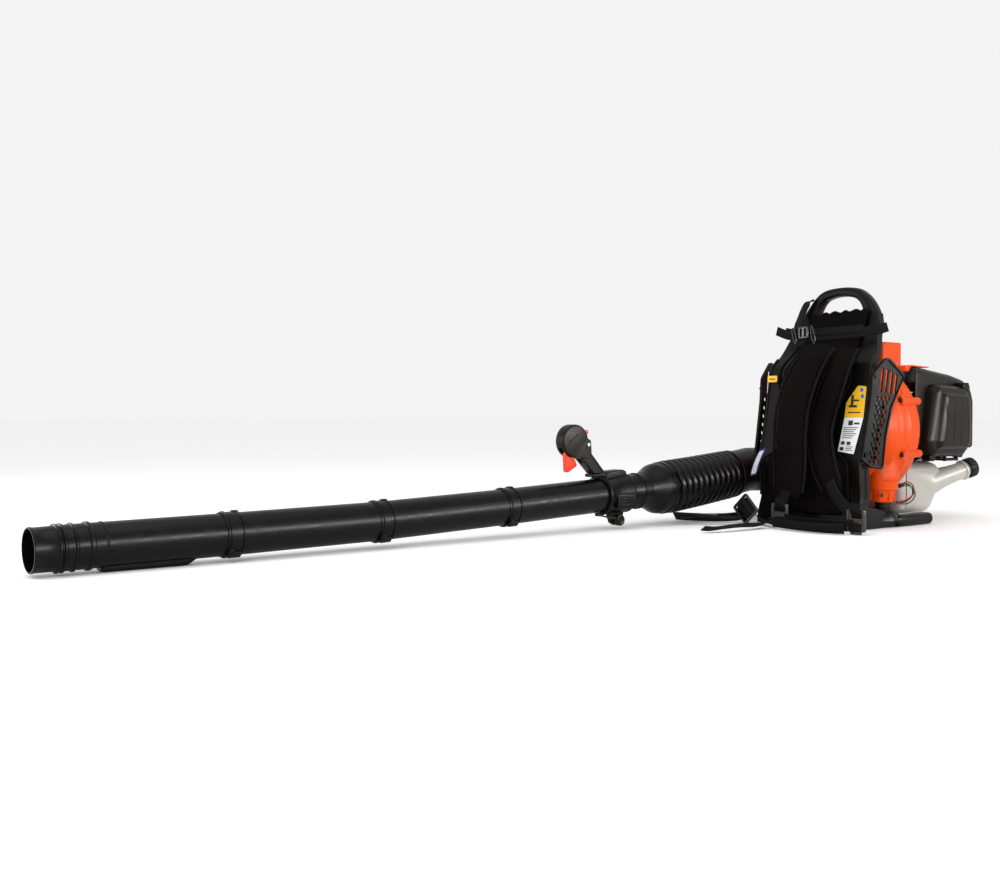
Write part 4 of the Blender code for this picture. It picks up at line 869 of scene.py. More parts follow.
def make_tank():
    side = [(0.080, 0.026), (0.088, 0.0200), (0.188, 0.0185), (0.206, 0.030), (0.247, 0.086),
            (0.246, 0.108), (0.232, 0.126), (0.205, 0.1325), (0.088, 0.132), (0.080, 0.125)]
    outline = Outline(side, [0.012, 0.016, 0.035, 0.035, 0.035, 0.03, 0.03, 0.035, 0.014, 0.014], 6)
    tank = new_object("fuel_tank_body", slab(outline, "x", -0.098, 0.098, 0.020, 6), TANK)
    neck, mouth = Vector((0.070, 0.205, 0.080)), Vector((0.1170, 0.3180, 0.1155))
    along = (mouth - neck).normalized()
    far = (mouth - neck).length
    spout = [(0, 0.030), (0.020, 0.0290), (0.034, 0.0262), (0.050, 0.0232), (0.070, 0.0208), (0.092, 0.0196),
             (far - 0.0205, 0.0192), (far - 0.0200, 0.0225), (far - 0.0165, 0.0228), (far - 0.0160, 0.0166),
             (far, 0.0165)]
    add(tank, turned(spout, neck, along, 48))
    cut(tank, turned([(0.01, 0.0140), (far + 0.02, 0.0138)], neck, along, 32))
    soften(tank, 0.0012, 2, 40)
    stand_for(tank, "pack", "natural_tank_plastic", "fuel_tank")
    # the moulding seam, and the cap
    seam = [Vector((0.0, p.x, p.y)) for p in outline.inside(-0.0003)]
    bead = new_object("tank_seam", wire(seam[4:] + seam[:5], 0.0009, 6), TANK)
    stand_for(bead, "pack", "natural_tank_plastic")
    start = mouth - along * 0.012
    cap_rings = []
    stations = [(0.0042, 0.0222, 0), (0.0052, 0.0226, 0), (0.0066, 0.0226, 1), (0.0205, 0.0224, 1),
                (0.0220, 0.0215, 0), (0.0240, 0.0200, 0), (0.0250, 0.0175, 0), (0.0252, 0.0150, 0),
                (0.0244, 0.0135, 0), (0.0244, 0.0040, 0)]
    side_axis, up_axis, _ = axes_for(along)
    for s, r, ridged in stations:
        ring = []
        for k in range(120):
            t = 2 * math.pi * k / 120
            radius = r - (0.0011 if ridged and k % 4 in (2, 3) else 0.0)
            ring.append(start + along * s + (side_axis * math.cos(t) + up_axis * math.sin(t)) * radius)
        cap_rings.append(ring)
    cap = new_object("tank_cap", loft(cap_rings), BLACK)
    cut(cap, turned([(-0.01, 0.0174), (0.0125, 0.0174)], start, along, 32))
    stand_for(cap, "tank_cap", "black_plastic", "fuel_cap")


# ---- hose, pipes and nozzle ----------------------------------------------------------
def make_elbow():
    turn_r = 0.052
    hub = Vector((OUTLET_X - 0.001, OUTLET_Y - turn_r, OUTLET_Z))
    centres, directions = [Vector((OUTLET_X + 0.010, OUTLET_Y, OUTLET_Z))], [Vector((-1, 0, 0))]
    for i in range(15):
        t = math.pi / 2 * i / 14
        centres.append(hub + Vector((-math.sin(t), math.cos(t), 0)) * turn_r)
        directions.append(Vector((-math.cos(t), -math.sin(t), 0)))
    hose = (pipe_point(HOSE_BEND) - pipe_point(HOSE_START)).normalized()
    for share in (0.35, 0.7):
        centres.append(centres[15].lerp(pipe_point(HOSE_START), share))
        directions.append(directions[15].lerp(hose, share).normalized())
    centres.append(pipe_point(HOSE_START) - hose * 0.0005)
    directions.append(hose)
    rings = [circle(c, d, 0.0500, 48) for c, d in zip(centres, directions)]
    rings += [circle(c, d, 0.0465, 48) for c, d in zip(centres, directions)][::-1]
    elbow = new_object("outlet_elbow", loft(rings, True), BLACK)
    collar_outer = [(0.0015, 0.0545), (0.0025, 0.0560), (0.0070, 0.0560), (0.0080, 0.0545),
                    (0.0140, 0.0525), (0.0150, 0.0508)]
    add(elbow, turned_tube(collar_outer, [(0.0015, 0.0480), (0.0150, 0.0480)],
                           (OUTLET_X, OUTLET_Y, OUTLET_Z), (-1, 0, 0)))
    stand_for(elbow, "elbow", "black_plastic", "swivel_elbow")
    band = turned_tube([(-0.0145, 0.0530), (-0.0135, 0.0542), (-0.0055, 0.0542), (-0.0045, 0.0530)],
                       [(-0.0145, 0.0503), (-0.0045, 0.0503)], pipe_point(HOSE_START), hose)
    stand_for(new_object("hose_clip_rear", band, GREY), "elbow", "black_plastic")


HOSE_GROOVE = 0.0090


def make_hose():
    """One corrugated hose over both of its CAD halves, bending across their joint."""
    a, b, c = (pipe_point(p) for p in (HOSE_START, HOSE_BEND, HOSE_END))
    first, second = (b - a), (c - b)
    total = first.length + second.length - 0.0050
    rings, per_ring, segments = 11, 12, 56

    def centre_at(s):
        return a + first.normalized() * s if s < first.length else b + second.normalized() * (s - first.length)

    start = 0.0005
    pitch = (total - start) / rings
    outer, inner = [], []
    for i in range(rings * per_ring + 1):
        s = start + pitch * i / per_ring
        t = (i / per_ring) % 1.0
        share = s / total
        peak = 0.0550 + 0.0028 * share
        crest = math.sin(math.pi * t) ** 0.45 if 0 < t < 1 else 0.0
        radius = peak - HOSE_GROOVE * (1 - crest)
        if i in (0, rings * per_ring):
            radius = 0.0505
        point = centre_at(s)
        lean = first.normalized().lerp(second.normalized(), max(0, min(1, (s - 0.06) / 0.09))).normalized()
        outer.append(circle(point, lean, radius, segments))
        if i % 4 == 0:
            inner.append(circle(point, lean, 0.0452, segments))
    hose = new_object("air_hose", loft(outer + inner[::-1], True), HOSE_BLACK, 75)
    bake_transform(hose)
    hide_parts("hose_bellows_rear", "hose_bellows_front")


def collar(length):
    outside = [(length - 0.0170, PIPE_R), (length - 0.0160, 0.0362), (length - 0.0150, 0.0385),
               (length - 0.0138, 0.0388), (length - 0.0125, 0.0388), (length - 0.0115, 0.0369),
               (length + 0.0060, 0.0367), (length + 0.0068, 0.0384), (length + 0.0088, 0.0384),
               (length + 0.0098, 0.0367), (length + 0.0125, 0.0367), (length + 0.0140, 0.0362)]
    inside = [(length - 0.0150, PIPE_BORE), (length - 0.0150, 0.0360), (length + 0.0140, 0.0360)]
    return outside, inside


def lug(centre, along, degrees, long, high, wide=0.0055):
    """A bayonet lug on a collar, rounded over, at an angle round the pipe."""
    turn = math.radians(degrees)
    out = Vector((math.cos(turn), 0, math.sin(turn)))
    side = along.cross(out).normalized()
    rings = []
    for reach, height in ((-0.5, 0.55), (-0.42, 1.0), (0.42, 1.0), (0.5, 0.55)):
        rings.append([centre + along * long * reach + out * (0.0368 + (high - 0.0368) * height * r) + side * s
                      for r, s in ((0, -wide), (0.75, -wide * 0.8), (1, -wide * 0.5), (1, wide * 0.5),
                                   (0.75, wide * 0.8), (0, wide))])
    return loft(rings)


def make_pipe(name, joint, body, node):
    a, b = pipe_point(PIPE_JOINTS[joint]), pipe_point(PIPE_JOINTS[joint + 1])
    length = (b - a).length
    outside, inside = collar(length)
    if joint == 0:
        outer = [(GAP, 0.0552), (0.0015, 0.0562), (0.0095, 0.0562), (0.0108, 0.0550), (0.0112, 0.0543),
                 (0.0260, 0.0538), (0.0310, 0.0528), (0.0360, 0.0505), (0.0470, 0.0448), (0.0550, 0.0410),
                 (0.0610, 0.0390), (0.0645, 0.0386), (0.0655, 0.0376), (0.0830, 0.0372), (0.0835, 0.0386),
                 (0.0865, 0.0386), (0.0875, 0.0368),
                 (0.0960, PIPE_R + 0.0006), (0.0980, PIPE_R)]
        bore = [(GAP, 0.0500), (0.026, 0.0490), (0.062, 0.0345), (0.098, PIPE_BORE)]
    else:
        outer = [(-0.0130, PIPE_R - 0.0008), (-0.0120, PIPE_R)]
        bore = [(-0.0130, PIPE_BORE)]
    # rings all along the straight stretch keep the long walls round under a close light
    straight = [(outer[-1][0] + (outside[0][0] - outer[-1][0]) * k / 6, PIPE_R) for k in range(1, 6)]
    pipe = new_object(name, turned_tube(outer + straight + outside, bore + inside, a, b - a, 72), PIPE_BLACK)
    along = (b - a).normalized()
    centre = a + along * length
    add(pipe, lug(centre, along, -52, 0.024, 0.0435), lug(centre + along * 0.007, along, -38, 0.010, 0.0415),
        lug(centre - along * 0.012, along, 90, 0.010, 0.0390, 0.006))
    stand_for(pipe, body, "black_plastic", node)


def make_nozzle():
    a, b = pipe_point(PIPE_JOINTS[3]), pipe_point(PIPE_JOINTS[4])
    length = (b - a).length
    outer = [(-0.0130, PIPE_R - 0.0008), (-0.0120, PIPE_R)]
    outer += [(length * k / 8, PIPE_R) for k in range(1, 5)]
    for from_tip, width, high in ((0.1090, 0.0035, 0.0012), (0.0890, 0.0080, 0.0023), (0.0640, 0.0050, 0.0022),
                                  (0.0480, 0.0055, 0.0023), (0.0405, 0.0050, 0.0023)):
        foot = length - from_tip
        outer += [(foot, PIPE_R), (foot + 0.0010, PIPE_R + high * 0.7), (foot + 0.0020, PIPE_R + high),
                  (foot + width - 0.0010, PIPE_R + high), (foot + width, PIPE_R + high * 0.5),
                  (foot + width + 0.0008, PIPE_R)]
    outer += [(length - 0.0320, PIPE_R - 0.0008), (length - 0.0060, PIPE_R - 0.0012),
              (length - 0.0045, PIPE_R - 0.0004), (length - 0.0010, PIPE_R - 0.0004), (length, PIPE_R - 0.0012)]
    nozzle = new_object("nozzle_tip", turned(outer, a, b - a, 72), PIPE_BLACK)
    skid = Outline([(-1.546, 0.0), (-1.412, 0.0), (-1.396, 0.010), (-1.396, 0.020), (-1.549, 0.020),
                   (-1.549, 0.003)], [0.003, 0.01, 0.006, 0.003, 0.003, 0.003], 4)
    add(nozzle, slab(skid, "x", PIPE_X - 0.013, PIPE_X + 0.013, 0.003, 3))
    cut(nozzle, turned([(-0.05, PIPE_BORE - 0.0005), (length + 0.05, PIPE_BORE - 0.0005)], a, b - a, 56))
    stand_for(nozzle, "tip", "black_plastic", "nozzle")


# ---- handle --------------------------------------------------------------------------
KNOB_Y, KNOB_Z = -0.472, 0.0175
HEAD_Y, HEAD_Z, HEAD_R = -0.592, 0.1835, 0.034


def pipe_height(y):
    (y0, z0), (y1, z1) = PIPE_JOINTS[0], PIPE_JOINTS[1]
    return z0 + (z1 - z0) * (y - y0) / (y1 - y0)


def make_clamp_ring():
    along = (pipe_point(PIPE_JOINTS[1]) - pipe_point(PIPE_JOINTS[0])).normalized()
    start = Vector((PIPE_X, -0.446, pipe_height(-0.446)))
    outer = [(0, 0.0398), (0.0008, 0.0412), (0.0034, 0.0418), (0.0048, 0.0412), (0.0060, 0.0400),
             (0.0280, 0.0398), (0.0292, 0.0408), (0.0330, 0.0408), (0.0342, 0.0398), (0.0640, 0.0398),
             (0.0665, 0.0410), (0.0700, 0.0418), (0.0728, 0.0412), (0.0736, 0.0398)]
    ring = new_object("clamp_ring", turned(outer, start, along, 64), BLACK)
    lug_side = Outline([(-0.500, 0.047), (-0.448, 0.047), (-0.458, 0.012), (-0.468, 0.0065),
                       (-0.476, 0.0065), (-0.486, 0.012)], 0.005, 4)
    saddle = Outline([(-0.512, 0.100), (-0.508, 0.1175), (-0.499, 0.1205), (-0.462, 0.1225), (-0.454, 0.1190),
                     (-0.450, 0.100)], 0.003, 3)
    shelf = Outline([(-0.546, 0.1090), (-0.5445, 0.1160), (-0.500, 0.1162), (-0.500, 0.1085)], 0.002, 3)
    parts = [slab(saddle, "x", PIPE_X - 0.016, PIPE_X + 0.016, 0.0025, 3),
             slab(shelf, "x", PIPE_X - 0.0135, PIPE_X + 0.0135, 0.002, 3),
             slab(lug_side, "x", PIPE_X - 0.0062, PIPE_X + 0.0062, 0.0015, 3),
             slab(Outline(rectangle(-0.502, -0.450, 0.0430, 0.0740), 0.004, 4), "x",
                  PIPE_X + 0.030, PIPE_X + 0.0425, 0.002, 3)]
    for i in range(3):
        z = 0.0500 + 0.0062 * i
        parts.append(slab(Outline(rectangle(-0.494, -0.458, z, z + 0.0030), 0.0012, 2), "x",
                          PIPE_X + 0.040, PIPE_X + 0.0445, 0.0008, 2))
    add(ring, *parts)
    cut(ring, turned([(-0.05, 0.0359), (0.20, 0.0359)], start, along, 48),
        rod((PIPE_X - 0.02, KNOB_Y, KNOB_Z), (PIPE_X + 0.02, KNOB_Y, KNOB_Z), 0.0064))
    stand_for(ring, "handle", "black_plastic", "handle_clamp_ring")


def make_clamp_lever():
    rings = []
    for x, r, ridged in ((0.0066, 0.0100, 0), (0.0071, 0.0112, 0), (0.0080, 0.0116, 1), (0.0175, 0.0116, 1),
                         (0.0186, 0.0108, 0), (0.0190, 0.0090, 0), (0.0182, 0.0078, 0), (0.0180, 0.0030, 0)):
        ring = []
        for k in range(96):
            t = 2 * math.pi * k / 96
            radius = r - (0.0009 if ridged and k % 6 in (3, 4, 5) else 0.0)
            ring.append(Vector((PIPE_X + x, KNOB_Y + radius * math.cos(t), KNOB_Z + radius * math.sin(t))))
        rings.append(ring)
    knob = new_object("clamp_knob", loft(rings), GREY)
    arm = Outline([(KNOB_Y + 0.004, KNOB_Z - 0.004), (KNOB_Y + 0.002, KNOB_Z + 0.005), (-0.5175, 0.0297),
                  (-0.533, 0.0338), (-0.5368, 0.0315), (-0.536, 0.0290), (-0.514, 0.0262)], 0.002, 4)
    add(knob, rod((PIPE_X - 0.0110, KNOB_Y, KNOB_Z), (PIPE_X + 0.0100, KNOB_Y, KNOB_Z), 0.0058),
        slab(arm, "x", PIPE_X + 0.0072, PIPE_X + 0.0158, 0.001, 2))
    stand_for(knob, "clamp", "black_plastic", "clamp_lever")


def handle_outline():
    outline = [(-0.5420, 0.1165), (-0.5740, 0.1470), (-0.5900, 0.1505)]
    for degrees in range(250, 9, -10):
        turn = math.radians(degrees)
        outline.append((HEAD_Y + HEAD_R * math.cos(turn), HEAD_Z + HEAD_R * math.sin(turn)))
    outline += [(-0.5500, 0.1850), (-0.5485, 0.170), (-0.5480, 0.158), (-0.5090, 0.1165)]
    return Outline(outline, 0.004, 3)


def make_handle():
    outline = handle_outline()
    for name, node, low, high, side in (
            ("grip_right_half", "control_handle_right_half", PIPE_X - 0.0135, PIPE_X - 0.0002, -1),
            ("grip_left_half", "control_handle_left_half", PIPE_X + 0.0002, PIPE_X + 0.0135, 1)):
        turns = [math.pi / 2 * i / 4 for i in range(5)]
        rim = [(0.0042 * (1 - math.sin(t)), 0.0042 * (1 - math.cos(t))) for t in turns]
        near, far = (low, high) if side > 0 else (high, low)
        step = 1 if side > 0 else -1
        levels = [(0.0004, near), (0.0, near + step * 0.0005)] + [(a, far - step * b) for a, b in rim[::-1]]
        half = new_object(name, layers(outline, "x", levels), GREY)
        tools = [block((PIPE_X - 0.0062, -0.64, 0.120), (PIPE_X + 0.0062, -0.562, 0.170), 0.0005, 0.001),
                 block((PIPE_X - 0.0052, -0.5835, 0.1830), (PIPE_X + 0.0052, -0.53, 0.23), 0.0005, 0.001)]
        # a shallow waist between the head and the arm
        x0, x1 = sorted((far - step * 0.0012, far + step * 0.01))
        waist = Outline([(-0.606, 0.1500), (-0.5850, 0.1545), (-0.5560, 0.1540), (-0.545, 0.1480),
                        (-0.510, 0.108), (-0.575, 0.108)], 0.004, 3)
        tools.append(slab(waist, "x", x0, x1, 0.0004, 1))
        cut(half, *tools)
        stand_for(half, "handle", "black_plastic", node)
    for side in (-1, 1):
        x = PIPE_X + side * 0.0134
        y0, z0, y1, z1 = -0.6130, 0.1800, -0.5850, 0.1985
        line = wire([Vector((x, y0 + (y1 - y0) * k / 4, z0 + (z1 - z0) * k / 4)) for k in range(5)], 0.0010, 8)
        stand_for(new_object(f"head_rib_{'left' if side > 0 else 'right'}", line, GREY), "handle", "black_plastic")
    trigger = Outline([(-0.6130, 0.1560), (-0.6115, 0.1225), (-0.6060, 0.1205), (-0.5820, 0.1335),
                      (-0.5840, 0.1390), (-0.5960, 0.161), (-0.605, 0.164), (-0.6125, 0.161)],
                     [0.002, 0.003, 0.003, 0.003, 0.003, 0.003, 0.003, 0.002], 4)
    made = new_object("trigger", slab(trigger, "x", PIPE_X - 0.0056, PIPE_X + 0.0056, 0.0018, 3), ACCENT)
    stand_for(made, "trigger", "red_orange_plastic", "throttle_trigger")
    lever = Outline([(-0.581, 0.1895), (-0.5635, 0.1888), (-0.5505, 0.1990), (-0.5525, 0.2065),
                     (-0.5610, 0.2045), (-0.5700, 0.2070), (-0.5790, 0.2020)], 0.0022, 4)
    made = new_object("cruise_lever_tab", slab(lever, "x", PIPE_X - 0.0046, PIPE_X + 0.0046, 0.0012, 3), ACCENT)
    stand_for(made, "cruise", "red_orange_plastic", "cruise_lever")
    head = [(0, 0.0034), (0.0004, 0.0038), (0.0014, 0.0038), (0.0022, 0.0032), (0.0024, 0.0022),
            (0.0014, 0.0018), (0.0013, 0.0008)]
    screw = new_object("grip_screw", turned(head, (PIPE_X + 0.0139, -0.5590, 0.1760), (1, 0, 0), 24), STEEL)
    stand_for(screw, "handle", "steel", "handle_screw")


# ---- harness -------------------------------------------------------------------------
def puff(piece, voxel, cap, pressure=4.0):
    """Swell a closed pad with a short cloth simulation; no point moves further than cap."""
    remesh = piece.modifiers.new("Remesh", "REMESH")
    remesh.mode = "VOXEL"
    remesh.voxel_size = voxel
    settle(piece)
    scene = bpy.context.scene
    start = [v.co.copy() for v in piece.data.vertices]
    scene.frame_set(1)
    cloth = piece.modifiers.new("Cloth", "CLOTH")
    cloth.settings.quality = 4
    cloth.settings.use_pressure = True
    cloth.settings.uniform_pressure_force = pressure
    cloth.settings.effector_weights.gravity = 0
    cloth.point_cache.frame_start, cloth.point_cache.frame_end = 1, 20
    for step in range(1, 21):
        scene.frame_set(step)
    settle(piece)
    scene.frame_set(1)
    for vertex, rest in zip(piece.data.vertices, start):
        move = vertex.co - rest
        if move.length > cap:
            vertex.co = rest + move.normalized() * cap
    return piece


def finish_pad(piece, levels=1):
    smooth = piece.modifiers.new("Smooth", "SMOOTH")
    smooth.factor = 0.5
    smooth.iterations = 3
    if levels:
        rounds = piece.modifiers.new("Subdivision", "SUBSURF")
        rounds.levels = levels
        rounds.render_levels = levels
    settle(piece)
    piece.data.shade_smooth()
    return piece


def channel(piece, distance_to, depth, width, facing):
    """Press a sewn channel into the side of the piece that faces a direction."""
    facing = Vector(facing)
    for vertex in piece.data.vertices:
        if vertex.normal.dot(facing) < 0.25:
            continue
        d = distance_to(vertex.co)
        if d < width * 3:
            vertex.co -= vertex.normal * depth * math.exp(-(d / width) ** 2)


PAD_WIDTHS = [(0.028, 0.100), (0.036, 0.108), (0.140, 0.110), (0.150, 0.100), (0.160, 0.068),
              (0.184, 0.054), (0.2155, 0.058), (0.267, 0.077), (0.300, 0.093), (0.340, 0.092),
              (0.372, 0.078), (0.388, 0.066)]
PAD_TOP, PAD_FOOT = 0.396, 0.027


def pad_half(z):
    return eased(PAD_WIDTHS, min(max(z, 0.030), 0.388), 0.008)


def make_back_pad():
    rings = []
    rows = 60
    for i in range(rows + 1):
        z = PAD_FOOT + (PAD_TOP - PAD_FOOT) * i / rows
        near_end = min(z - PAD_FOOT, PAD_TOP - z)
        swell = min(1.0, 0.35 + near_end / 0.018)
        half = pad_half(z) - 0.003 - 0.010 * max(0.0, 1 - near_end / 0.010)
        back = front_y(z) - 0.0035
        ring = [Vector((-half, back, z)), Vector((half, back, z))]
        for k in range(21):
            u = 1 - 2 * k / 20
            crown = (1 - abs(u) ** 3.2) ** 0.55 if abs(u) < 1 else 0.0
            ring.append(Vector((u * half, back - 0.0035 - (0.0135 * crown) * swell, z)))
        rings.append(ring)
    pad = puff(new_object("harness_pad", loft(rings), CLOTH), 0.0045, 0.004)

    def border(p):
        return min(abs(abs(p.x) - (pad_half(p.z) - 0.016)), abs(p.z - (PAD_FOOT + 0.014)),
                   abs(p.z - (PAD_TOP - 0.014)))

    channel(pad, border, 0.0030, 0.0030, (0, -1, 0))
    finish_pad(pad)
    channel(pad, lambda p: abs(p.z - (0.1540 + 0.9 * p.x * p.x)), 0.0045, 0.0045, (0, -1, 0))
    channel(pad, lambda p: abs(p.z - (0.2900 - 0.7 * p.x * p.x)), 0.0022, 0.0035, (0, -1, 0))
    stand_for(pad, "pack", "black_fabric", "back_pad")
    for side, name in ((-1, "right"), (1, "left")):
        route = []
        for i in range(50):
            z = 0.040 + (0.384 - 0.040) * i / 49
            route.append(Vector((side * (pad_half(z) - 0.0025), front_y(z) - 0.0125, z)))
        piping = new_object(f"pad_piping_{name}", wire(route, 0.0024, 10), CLOTH)
        stand_for(piping, "pack", "black_fabric")


def band(name, points, width, thickness, across, body="pack", finish=None, slot="black_fabric",
         nodes=(), steps=6, bulge=0.93):
    """Flat webbing along a route, laid out so that its weave follows its length."""
    route = smooth_route(points, steps)
    sideways = across if isinstance(across, list) else [across] * len(points)
    sideways = smooth_route(sideways, steps)
    bm = bmesh.new()
    uv = bm.loops.layers.uv.new("UVMap")
    rows, travelled = [], 0.0
    for i, centre in enumerate(route):
        ahead = (route[min(i + 1, len(route) - 1)] - route[max(i - 1, 0)]).normalized()
        wide = sideways[i] - ahead * sideways[i].dot(ahead)
        wide.normalize()
        thick = ahead.cross(wide).normalized()
        if i:
            travelled += (centre - route[i - 1]).length
        row = []
        for share, lift in ((-1, 0), (-bulge, -1), (-0.5, -1), (0, -1), (0.5, -1), (bulge, -1), (1, 0),
                            (bulge, 1), (0.5, 1), (0, 1), (-0.5, 1), (-bulge, 1)):
            row.append((bm.verts.new(centre + wide * share * width / 2 + thick * lift * thickness / 2),
                        (travelled, share * width / 2)))
        rows.append(row)
    for low, high in zip(rows, rows[1:]):
        for k in range(12):
            j = (k + 1) % 12
            face = bm.faces.new((low[k][0], low[j][0], high[j][0], high[k][0]))
            for loop, place in zip(face.loops, (low[k][1], low[j][1], high[j][1], high[k][1])):
                loop[uv].uv = place
    for row in (rows[0][::-1], rows[-1]):
        face = bm.faces.new([v for v, _ in row])
        for loop, (_, place) in zip(face.loops, row):
            loop[uv].uv = place
    bmesh.ops.recalc_face_normals(bm, faces=bm.faces)
    piece = new_object(name, bm, finish or WEBBING, 60)
    return stand_for(piece, body, slot, *nodes)


def make_padded_strap(name, node, points, widths):
    """A padded shoulder strap: a crowned core with taped edges and two sewn lines."""
    route = smooth_route(points, 7)
    sizes = smooth_route([(w, 0, 0) for w in widths], 7)
    rings, edges, lines = [], ([], []), ([], [])
    for i, centre in enumerate(route):
        ahead = (route[min(i + 1, len(route) - 1)] - route[max(i - 1, 0)]).normalized()
        wide = Vector((1, 0, 0)) - ahead * ahead.x
        wide.normalize()
        front = wide.cross(ahead).normalized()
        if front.y > 0:
            front.negate()
        half = sizes[i].x / 2 - 0.003
        end = min(i, len(route) - 1 - i)
        closing = min(1.0, 0.45 + end * 0.18)
        ring = []
        for k in range(20):
            t = 2 * math.pi * k / 20
            c, s = math.cos(t), math.sin(t)
            ring.append(centre + wide * half * math.copysign(abs(c) ** 0.75, c)
                        + front * (STRAP_THICK * 0.46) * closing * math.copysign(abs(s) ** 0.8, s))
        rings.append(ring)
        for edge, line, side in zip(edges, lines, (-1, 1)):
            edge.append(centre + wide * side * (half + 0.0006))
            line.append(centre + wide * side * (half - 0.0105) + front * (STRAP_THICK * 0.47))
    core = puff(new_object(name, loft(rings), CLOTH), 0.0040, 0.0028, 5.0)
    finish_pad(core)
    for line in lines:
        channel(core, lambda p, line=line: min((p - q).length for q in line), 0.0022, 0.0034, (0, -1, 0))
    stand_for(core, "pack", "black_fabric", node)
    # the taped edges are lighter than the cloth: painted highlight along the strap's edges
    for edge, side in zip(edges, ("inner", "outer")):
        piece = new_object(f"{name}_tape_{side}", wire(edge[1:-2], 0.0030, 10), WEBBING_PLAIN)
        stand_for(piece, "pack", "black_fabric")


def make_straps():
    right = [(0.026, -0.096, 0.386), (0.016, -0.125, 0.355), (0.004, -0.150, 0.305),
             (-0.003, -0.166, 0.250), (-0.002, -0.176, 0.190), (0.000, -0.178, 0.125), (-0.007, -0.175, 0.062)]
    left = [(0.078, -0.083, 0.378), (0.076, -0.108, 0.352), (0.066, -0.124, 0.300), (0.052, -0.134, 0.240),
            (0.048, -0.142, 0.190), (0.068, -0.153, 0.130), (0.096, -0.158, 0.076)]
    make_padded_strap("strap_right", "shoulder_strap_right", right,
                      [0.070, 0.080, 0.086, 0.086, 0.085, 0.083, 0.074])
    band("strap_right_end", [(-0.004, -0.1800, 0.100), (-0.008, -0.1810, 0.076), (-0.016, -0.1810, 0.056),
                             (-0.020, -0.1805, 0.046)], 0.0250, 0.0022, Vector((1, 0, 0)))
    make_padded_strap("strap_left", "shoulder_strap_left", left,
                      [0.056, 0.060, 0.063, 0.064, 0.064, 0.060, 0.050])
    band("strap_left_end", [(0.088, -0.1620, 0.100), (0.104, -0.1660, 0.076), (0.130, -0.1760, 0.056),
                            (0.160, -0.1860, 0.042)], 0.0250, 0.0022, Vector((1, 0, 0.8)))


def make_top_panel():
    """The cloth flap that joins both straps' tops, with a gathered upper edge."""
    columns, rows, thick = 44, 22, 0.0024
    sides = []
    for lift in (0.0, thick):
        grid = []
        for r in range(rows + 1):
            v = r / rows
            row = []
            for c in range(columns + 1):
                u = c / columns
                x = -0.060 + 0.140 * u
                top = 0.4560 + 0.0022 * math.sin(u * 34.0) + 0.004 * u
                z = 0.372 + (top - 0.372) * v
                fold = 0.0016 * math.sin(u * 21.0 + v * 3.0) * (0.3 + v)
                row.append(Vector((x, front_y(z) - 0.0055 - lift - 0.003 * (1 - v) + fold, z)))
            grid.append(row)
        sides.append(grid)
    bm = bmesh.new()
    made = [[[bm.verts.new(p) for p in row] for row in grid] for grid in sides]
    for grid, flip in zip(made, (False, True)):
        for r in range(rows):
            for c in range(columns):
                corners = (grid[r][c], grid[r][c + 1], grid[r + 1][c + 1], grid[r + 1][c])
                bm.faces.new(corners if flip else corners[::-1])
    back, front = made
    rim = ([(0, c) for c in range(columns)] + [(r, columns) for r in range(rows)]
           + [(rows, c) for c in range(columns, 0, -1)] + [(r, 0) for r in range(rows, 0, -1)])
    for (r0, c0), (r1, c1) in zip(rim, rim[1:] + rim[:1]):
        bm.faces.new((back[r0][c0], back[r1][c1], front[r1][c1], front[r0][c0]))
    bmesh.ops.recalc_face_normals(bm, faces=bm.faces)
    panel = new_object("top_panel", bm, CLOTH, 60)
    stand_for(panel, "pack", "black_fabric")
    hem = [sides[1][rows][c] + Vector((0, 0.0008, 0)) for c in range(columns + 1)]
    stand_for(new_object("top_panel_hem", wire(hem, 0.0026, 10), WEBBING_PLAIN), "pack", "black_fabric")


def ring_loop(name, top, bottom, half_width, radius, finish=None):
    """A flattened metal or plastic ring that the cross strap passes through."""
    top, bottom = Vector(top), Vector(bottom)
    centre, down = (top + bottom) / 2, (bottom - top) / 2
    across = Vector((half_width, -half_width * 0.5, 0))
    route = [centre + down * math.cos(t) + across * math.sin(t)
             for t in (2 * math.pi * k / 28 for k in range(28))]
    normal = down.cross(across).normalized()
    tube = []
    for i, point in enumerate(route):
        ahead = (route[(i + 1) % 28] - route[i - 1]).normalized()
        out = ahead.cross(normal)
        tube.append([point + (out * math.cos(t) + normal * math.sin(t)) * radius
                     for t in (2 * math.pi * k / 10 for k in range(10))])
    return stand_for(new_object(name, loft(tube, True), finish or BUCKLE), "pack", "black_plastic")


